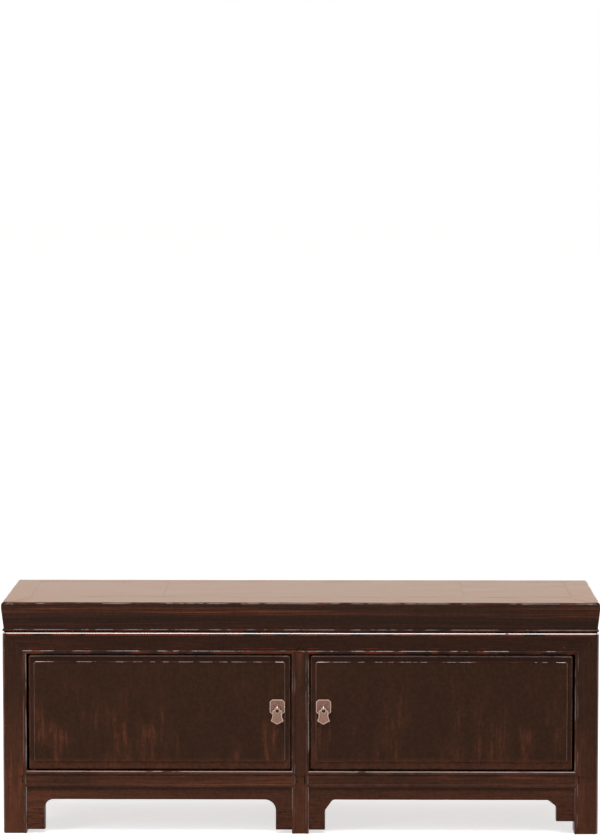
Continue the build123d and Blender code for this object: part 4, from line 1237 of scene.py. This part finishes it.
# %% Knocks and the four rails
ends = ((-TOP_X, END_RAIL), (TOP_X, END_RAIL))
sides = ((-TOP_Y, FRONT_RAIL), (TOP_Y, BACK_RAIL))
arris = (-TOP_Y + ARRIS_IN, TOP - ARRIS_IN)
knocks = [
    (place, arris, width, deep)
    for place, width, deep in (
        (-622, 6, 6.0), (-604, 5, 2.6), (-589, 4, 1.6), (-548, 3, 1.0), (-120, 5, 0.7),
        (210, 3, 0.8), (466, 6, 0.9), (604, 5, 1.6), (622, 6, 6.0),
    )
]
knocks += [(-617, (-TOP_Y + 0.5, TOP - 30), 5, 1.2), (-596, (-TOP_Y + 0.5, TOP - 44), 4, 1.0)]
end_arris = (-TOP_X + ARRIS_IN, TOP - ARRIS_IN)
end_knocks = [(-198, end_arris, 6, 6.0), (-150, end_arris, 3, 0.8)]
front_rail = top_rail("x", -TOP_Y, FRONT_RAIL, ends, 91, knocks)
make_piece("top_rail_front", "case", "polished_lacquer", top_finish, front_rail)
back_rail = top_rail("x", TOP_Y, BACK_RAIL, ends, 92)
make_piece("top_rail_back", "case", "polished_lacquer", top_finish, back_rail)
left, right = (("y", -TOP_X, END_RAIL, sides, seed, end_knocks) for seed in (93, 94))
make_pairs(("top_rail", "case", "polished_lacquer", top_finish, top_rail, left, right))

# %% Top boards
BOARD_FRONT, BOARD_BACK, BOARD_LOW = -100.0, 152.0, 472.0
SEAMS = (-572.0, -292.0, 345.0, 572.0)
for name, x0, x1, seed in zip(("left", "middle", "right"), SEAMS, SEAMS[1:], (95, 96, 97)):
    low, high = (x0, BOARD_FRONT, BOARD_LOW), (x1, BOARD_BACK, TOP)
    part = board("z", low, high, seed, "x", ease=0.5, size=0.3, worn=-0.9)
    make_piece("top_board_" + name, "case", "polished_lacquer", top_finish, part)

# %% [markdown]
# ## Doors
# Each door is one thick board with a raised field. Its rings run from the middle of the field to
# its softly rounded rim, down a small cove to the border, across the border, and over the door's
# own rounded edge. Round wooden pivots at the outer edge turn in the rails above and below.

# %% Rings of a door
DOOR, FIELD = (-571.0, -20.5, 135.0, 378.0), (-560.0, -31.5, 152.0, 365.0)
FIELD_Y, BORDER_Y, DOOR_BACK = -189.0, -186.0, -166.0
PIVOT, PIVOT_RADIUS = (-561.0, -176.0), 5.9
# An exposure below zero, at the foot of the field's cove, is painted shade.
FIELD_RINGS = (  # inset, corner radius, depth behind the field, exposure
    (6, 1.5, 0, 0), (3.4, 3.4, 0, 0), (2.4, 4, 0, 0.5), (1.5, 4.8, 0.15, 0.66),
    (0.7, 5.5, 0.6, 0.72), (0.15, 6, 1.4, 0.66), (-0.2, 6, 2.1, 0.5), (-0.9, 6.6, 2.8, -0.1),
    (-2, 7, 3, 0),
)
DOOR_RINGS = (  # the same, with the depth behind the border
    (5, 1.5, 0, 0), (4, 2, 0, 0.3), (2.6, 3, 0.4, 0.72), (1.2, 4, 1.2, 0.86), (0.3, 4.8, 2.6, 0.8),
    (0, 5, 4, 0.3), (0, 5, 11, 0), (0, 5, 18.8, 0.2), (0.4, 4.6, 19.6, 1), (1.2, 4, 20, 0.4),
    (6, 2, 20, 0),
)
print("a door is", DOOR[1] - DOOR[0], "by", DOOR[3] - DOOR[2], "mm")

# %% Doors and their pivots
def round_section(centre, radius, count=24):
    """Circle as a cross-section: centre plus radius * (cos, sin)."""
    angle = np.linspace(0, 2 * np.pi, count, endpoint=False)
    circle = np.stack([np.cos(angle), np.sin(angle)], 1) * radius + np.array(centre, float)
    return circle, np.full(count, 0.2)


def door(seed):
    """Left door and its two pivots, most worn at three of its corners and down both sides."""
    spec = []
    for box, face, levels in ((FIELD, FIELD_Y, FIELD_RINGS), (DOOR, BORDER_Y, DOOR_RINGS)):
        spec += inset_rings(box, [(inset, r, face + deep, e) for inset, r, deep, e in levels])
    panel = slab("y", spec, seed, "z", 0.35)
    x, _, z = np.moveaxis(panel["points"], -1, 0)
    for corner_x, corner_z in ((FIELD[0], FIELD[3]), (DOOR[0], DOOR[3]), (FIELD[1], FIELD[3])):
        away = np.hypot(x - corner_x, z - corner_z)
        panel["edge"] *= 1 + 0.4 * np.exp(-((away / 14) ** 2)) * (panel["edge"] > 0)
    off_middle = abs(x - (DOOR[0] + DOOR[1]) / 2)
    panel["edge"] *= 1 + 0.35 * (off_middle > (FIELD[1] - FIELD[0]) / 2 - 7) * (panel["edge"] > 0)
    pins = []
    for low, high in ((DOOR[2] - 12, DOOR[2] + 3), (DOOR[3] - 3, DOOR[3] + 14)):
        outline = round_section(PIVOT, PIVOT_RADIUS)
        rows = rows_between(len(outline[0]), (low, 0), (low + 1, 2), (high - 1, 2), (high, 2))
        pins.append(bar("z", outline, rows, seed, round_ends=(1.0, 1.0), wave=0.0, bite=0.0))
    return [panel] + pins


door_finishes = (door_finish, quiet_door_finish)
make_pairs(("door", "door_{}", "lacquer", door_finishes, door, (101,), (102,)))

# %% [markdown]
# ## Brass pulls
# A clipped plate with a raised rim is held by a split pin, whose ends are bent over inside the
# door. A small bell-shaped drop hangs by its hole from the pin's ring and swings on it. The plate
# and the drop are outlines drawn in step by step, and the ring is a torus.

# %% Back plates
PULL_X, EYE_Y, EYE_Z = -48.5, -196.8, 267.0
PLATE_FACE, PLATE_RIM = -190.4, -191.2
PLATE_HALF, PLATE_LOW, PLATE_HIGH = 15.8, 255.0, 285.0
UPPER_CLIP, LOWER_CLIP = 5.0, 3.6
HOLE_Z, HOLE_R = 261.8, 3.4  # the drop's hole; painted shade darkens the plate behind it
TOWARDS_PLATE_RIM = np.array([0.05, 0.2, 0.35, 0.5, 0.65, 0.8, 0.92])


def clipped(inset, steps=5):
    """Eight-sided plate outline drawn in by inset, each side cut into equal steps."""
    half, low, high = PLATE_HALF - inset, PLATE_LOW + inset, PLATE_HIGH - inset
    clip, cut = (size - inset * (2 - 2**0.5) for size in (UPPER_CLIP, LOWER_CLIP))
    x0, x1 = PULL_X - half, PULL_X + half
    corners = np.array([
        (x0 + cut, low), (x1 - cut, low), (x1, low + cut), (x1, high - clip),
        (x1 - clip, high), (x0 + clip, high), (x0, high - clip), (x0, low + cut),
    ])
    share = np.arange(steps)[None, :, None] / steps
    sides = np.roll(corners, -1, 0)[:, None] - corners[:, None]
    return (corners[:, None] + sides * share).reshape(-1, 2)


def flat_grid(flat, y):
    """Puts rings of (x, z) points at one y for each ring."""
    y = np.broadcast_to(np.array(y, float)[:, None], flat.shape[:2])
    return np.stack([flat[..., 0], y, flat[..., 1]], -1)


def pull_plate():
    """Plate as rings of its own outline: the face, the raised rim, the edge and the back."""
    levels = [
        (2.8, PLATE_FACE, 0), (2.4, PLATE_FACE, -0.35), (2.0, PLATE_FACE - 0.1, 0),
        (1.7, PLATE_RIM + 0.1, 0.6), (1.4, PLATE_RIM, 1), (0.5, PLATE_RIM, 1),
        (0.15, PLATE_RIM + 0.25, 1), (0, PLATE_RIM + 0.7, 0.6), (0, FIELD_Y - 0.1, 0.2),
        (0.1, FIELD_Y, 0),
    ]
    flat = np.stack([clipped(inset) for inset, _, _ in levels])
    middle = flat[0].mean(0)
    inner = middle + (flat[:1] - middle) * TOWARDS_PLATE_RIM[:, None, None]
    flat = np.concatenate([inner, flat, inner[::-1]])
    levels = [(0, PLATE_FACE, 0)] * len(inner) + levels + [(0, FIELD_Y, 0)] * len(inner)
    grid = flat_grid(flat, [level[1] for level in levels])
    edge = np.array([level[2] for level in levels], float)[:, None]
    # Painted shade on the plate round the drop's hole.
    from_hole = np.linalg.norm(flat - (PULL_X, HOLE_Z), axis=-1)
    dark = np.clip((7.0 - from_hole) / 2.5, 0, 1) * (edge <= 0)
    return shell(grid, grid.copy(), edge - dark)


# %% Split pins
RING_R, WIRE_R, PIN_R, PIN_BACK = 5.0, 1.2, 1.7, DOOR_BACK + 1.2


def pull_eye():
    """Torus for the ring, a rod for the shank and a bent strip on the door's back.

    Ring point(u, v) = centre + (R + r cos v) * (cos u along y, sin u along z) + r sin v along x.
    """
    u = np.linspace(0, 2 * np.pi, 48, endpoint=False)[:, None]
    v = np.linspace(0, 2 * np.pi, 16, endpoint=False)[None, :]
    out = RING_R + WIRE_R * np.cos(v)
    x = PULL_X + WIRE_R * np.sin(v) + 0 * u
    grid = np.stack([x, EYE_Y + out * np.cos(u), EYE_Z + out * np.sin(u)], -1)
    # Painted shade on the part of the ring in the drop's hole; rubbed brass above it, and a painted
    # glint on its top.
    worn = np.interp(grid[..., 2], [264.8, 266.5, 269.5], [-1.0, 0.8, 1.8])
    loop = shell(grid, grid.copy(), worn, closed=True)
    rod = round_section((PULL_X, EYE_Z), PIN_R, 16)
    rows = rows_between(16, (EYE_Y + RING_R, 0), (-170.0, 4), (PIN_BACK, 2))
    shank = bar("y", rod, rows, 5, wave=0.0, bite=0.0)
    low, high = (PULL_X - 1.2, DOOR_BACK, EYE_Z - 12), (PULL_X + 1.2, PIN_BACK, EYE_Z + 12)
    clinch = plain_bar("z", low, high, 6, ease=0.3, spacing=3.0, wave=0.0, bite=0.0)
    return [loop, shank, clinch]


# %% Drops
def drop_outline(count=110):
    """Outline of the drop round its hole: a small lobe, shoulders, a waist, a flare and a tip.

    It is one polyline with rounded corners and its mirror image, spaced evenly by length.
    """
    corners = [(0, 269.2, 0), (4.4, 268.6, 3.0), (6.6, 263.6, 1.2), (10.3, 262.2, 1.6)]
    corners += [(9.9, 250.0, 9.0), (13.4, 240.4, 0.6), (0, 233.2, 0)]
    half = rounded_line(corners)
    whole = np.vstack([half, half[-2:0:-1] * (-1, 1), half[:1]])
    return at_stops(whole, np.linspace(0, run_along(whole)[-1], count, endpoint=False))


def pull_drop():
    """Drop as levels (points, place through it, exposure): hole, face and rim, then its back."""
    outline, hole = drop_outline(), (0, HOLE_Z)
    spoke, out = unit(outline - hole), outward(outline)
    near_hole = [(HOLE_R, -0.7, 0.4), (HOLE_R + 0.35, -1.1, 0.9), (HOLE_R + 1.2, -1.1, 0.7)]
    near_rim = [(2.1, -0.7, 0.4), (1.6, -1.0, 0.6), (1.2, -1.1, 1), (0.4, -1.1, 1), (0, -0.7, 0.8)]
    inner, outer = hole + spoke * (HOLE_R + 1.9), outline - out * 2.4
    reach = np.minimum(1.0, np.linalg.norm(outer - hole, axis=1) / (HOLE_R + 1.9))[:, None]
    inner = hole + (inner - hole) * reach
    front = [(hole + spoke * radius, y, e) for radius, y, e in near_hole]
    front += [(inner + (outer - inner) * t, -0.65, 0.22) for t in (0.0, 0.35, 0.7, 1.0)]
    front += [(outline - out * inset, y, e) for inset, y, e in near_rim]
    rear = [(points, -y if abs(y) > 0.66 else 0.95, e * 0.5) for points, y, e in front[::-1]]
    flat, y, edge = (np.array(values) for values in zip(*front, *rear))
    grid = flat_grid(flat + (PULL_X, 0), EYE_Y + y)
    return shell(grid, grid.copy(), np.repeat(edge[:, None], flat.shape[1], 1), closed=True)


make_pairs(
    ("pull_plate", "door_{}", "aged_brass", brass_finish, pull_plate, (), ()),
    ("pull_eye", "door_{}", "aged_brass", brass_finish, pull_eye, (), ()),
    ("pull_drop", "pull_{}", "aged_brass", brass_finish, pull_drop, (), ()),
)

# %% [markdown]
# ## Floor
# The floor is pale and keeps the cabinet's soft shadow. For camera and glossy rays a little white
# light is added to it, so that it reads as part of the white room.

# %% Floor
FLOOR_HALF, FLOOR_Z, FLOOR_GREY, FLOOR_WHITEN = 60.0, -0.0004, (0.8, 0.8, 0.8, 1), 0.66

floor_outline = rectangle(-FLOOR_HALF, FLOOR_HALF, -FLOOR_HALF, FLOOR_HALF)
floor, graph = studio_plane("studio_floor", [(x, y, FLOOR_Z) for x, y in floor_outline])
whiter = graph.times(sees_white(graph), FLOOR_WHITEN)
matt = graph.out("BsdfDiffuse", {"Color": FLOOR_GREY})
glow = graph.out("Emission", {"Color": WHITE, "Strength": whiter})
graph.surface(graph.out("AddShader", {0: matt, 1: glow}))
print(floor.name, 2 * FLOOR_HALF, "m wide")

# %% [markdown]
# ## Sizes and the last line
# The box round the dressed cabinet is printed. The dressed cabinet has to stay inside the
# plain one's box.

# %% Sizes
low, high = (list(corner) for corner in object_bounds())
print("dressed from", low, "to", high)
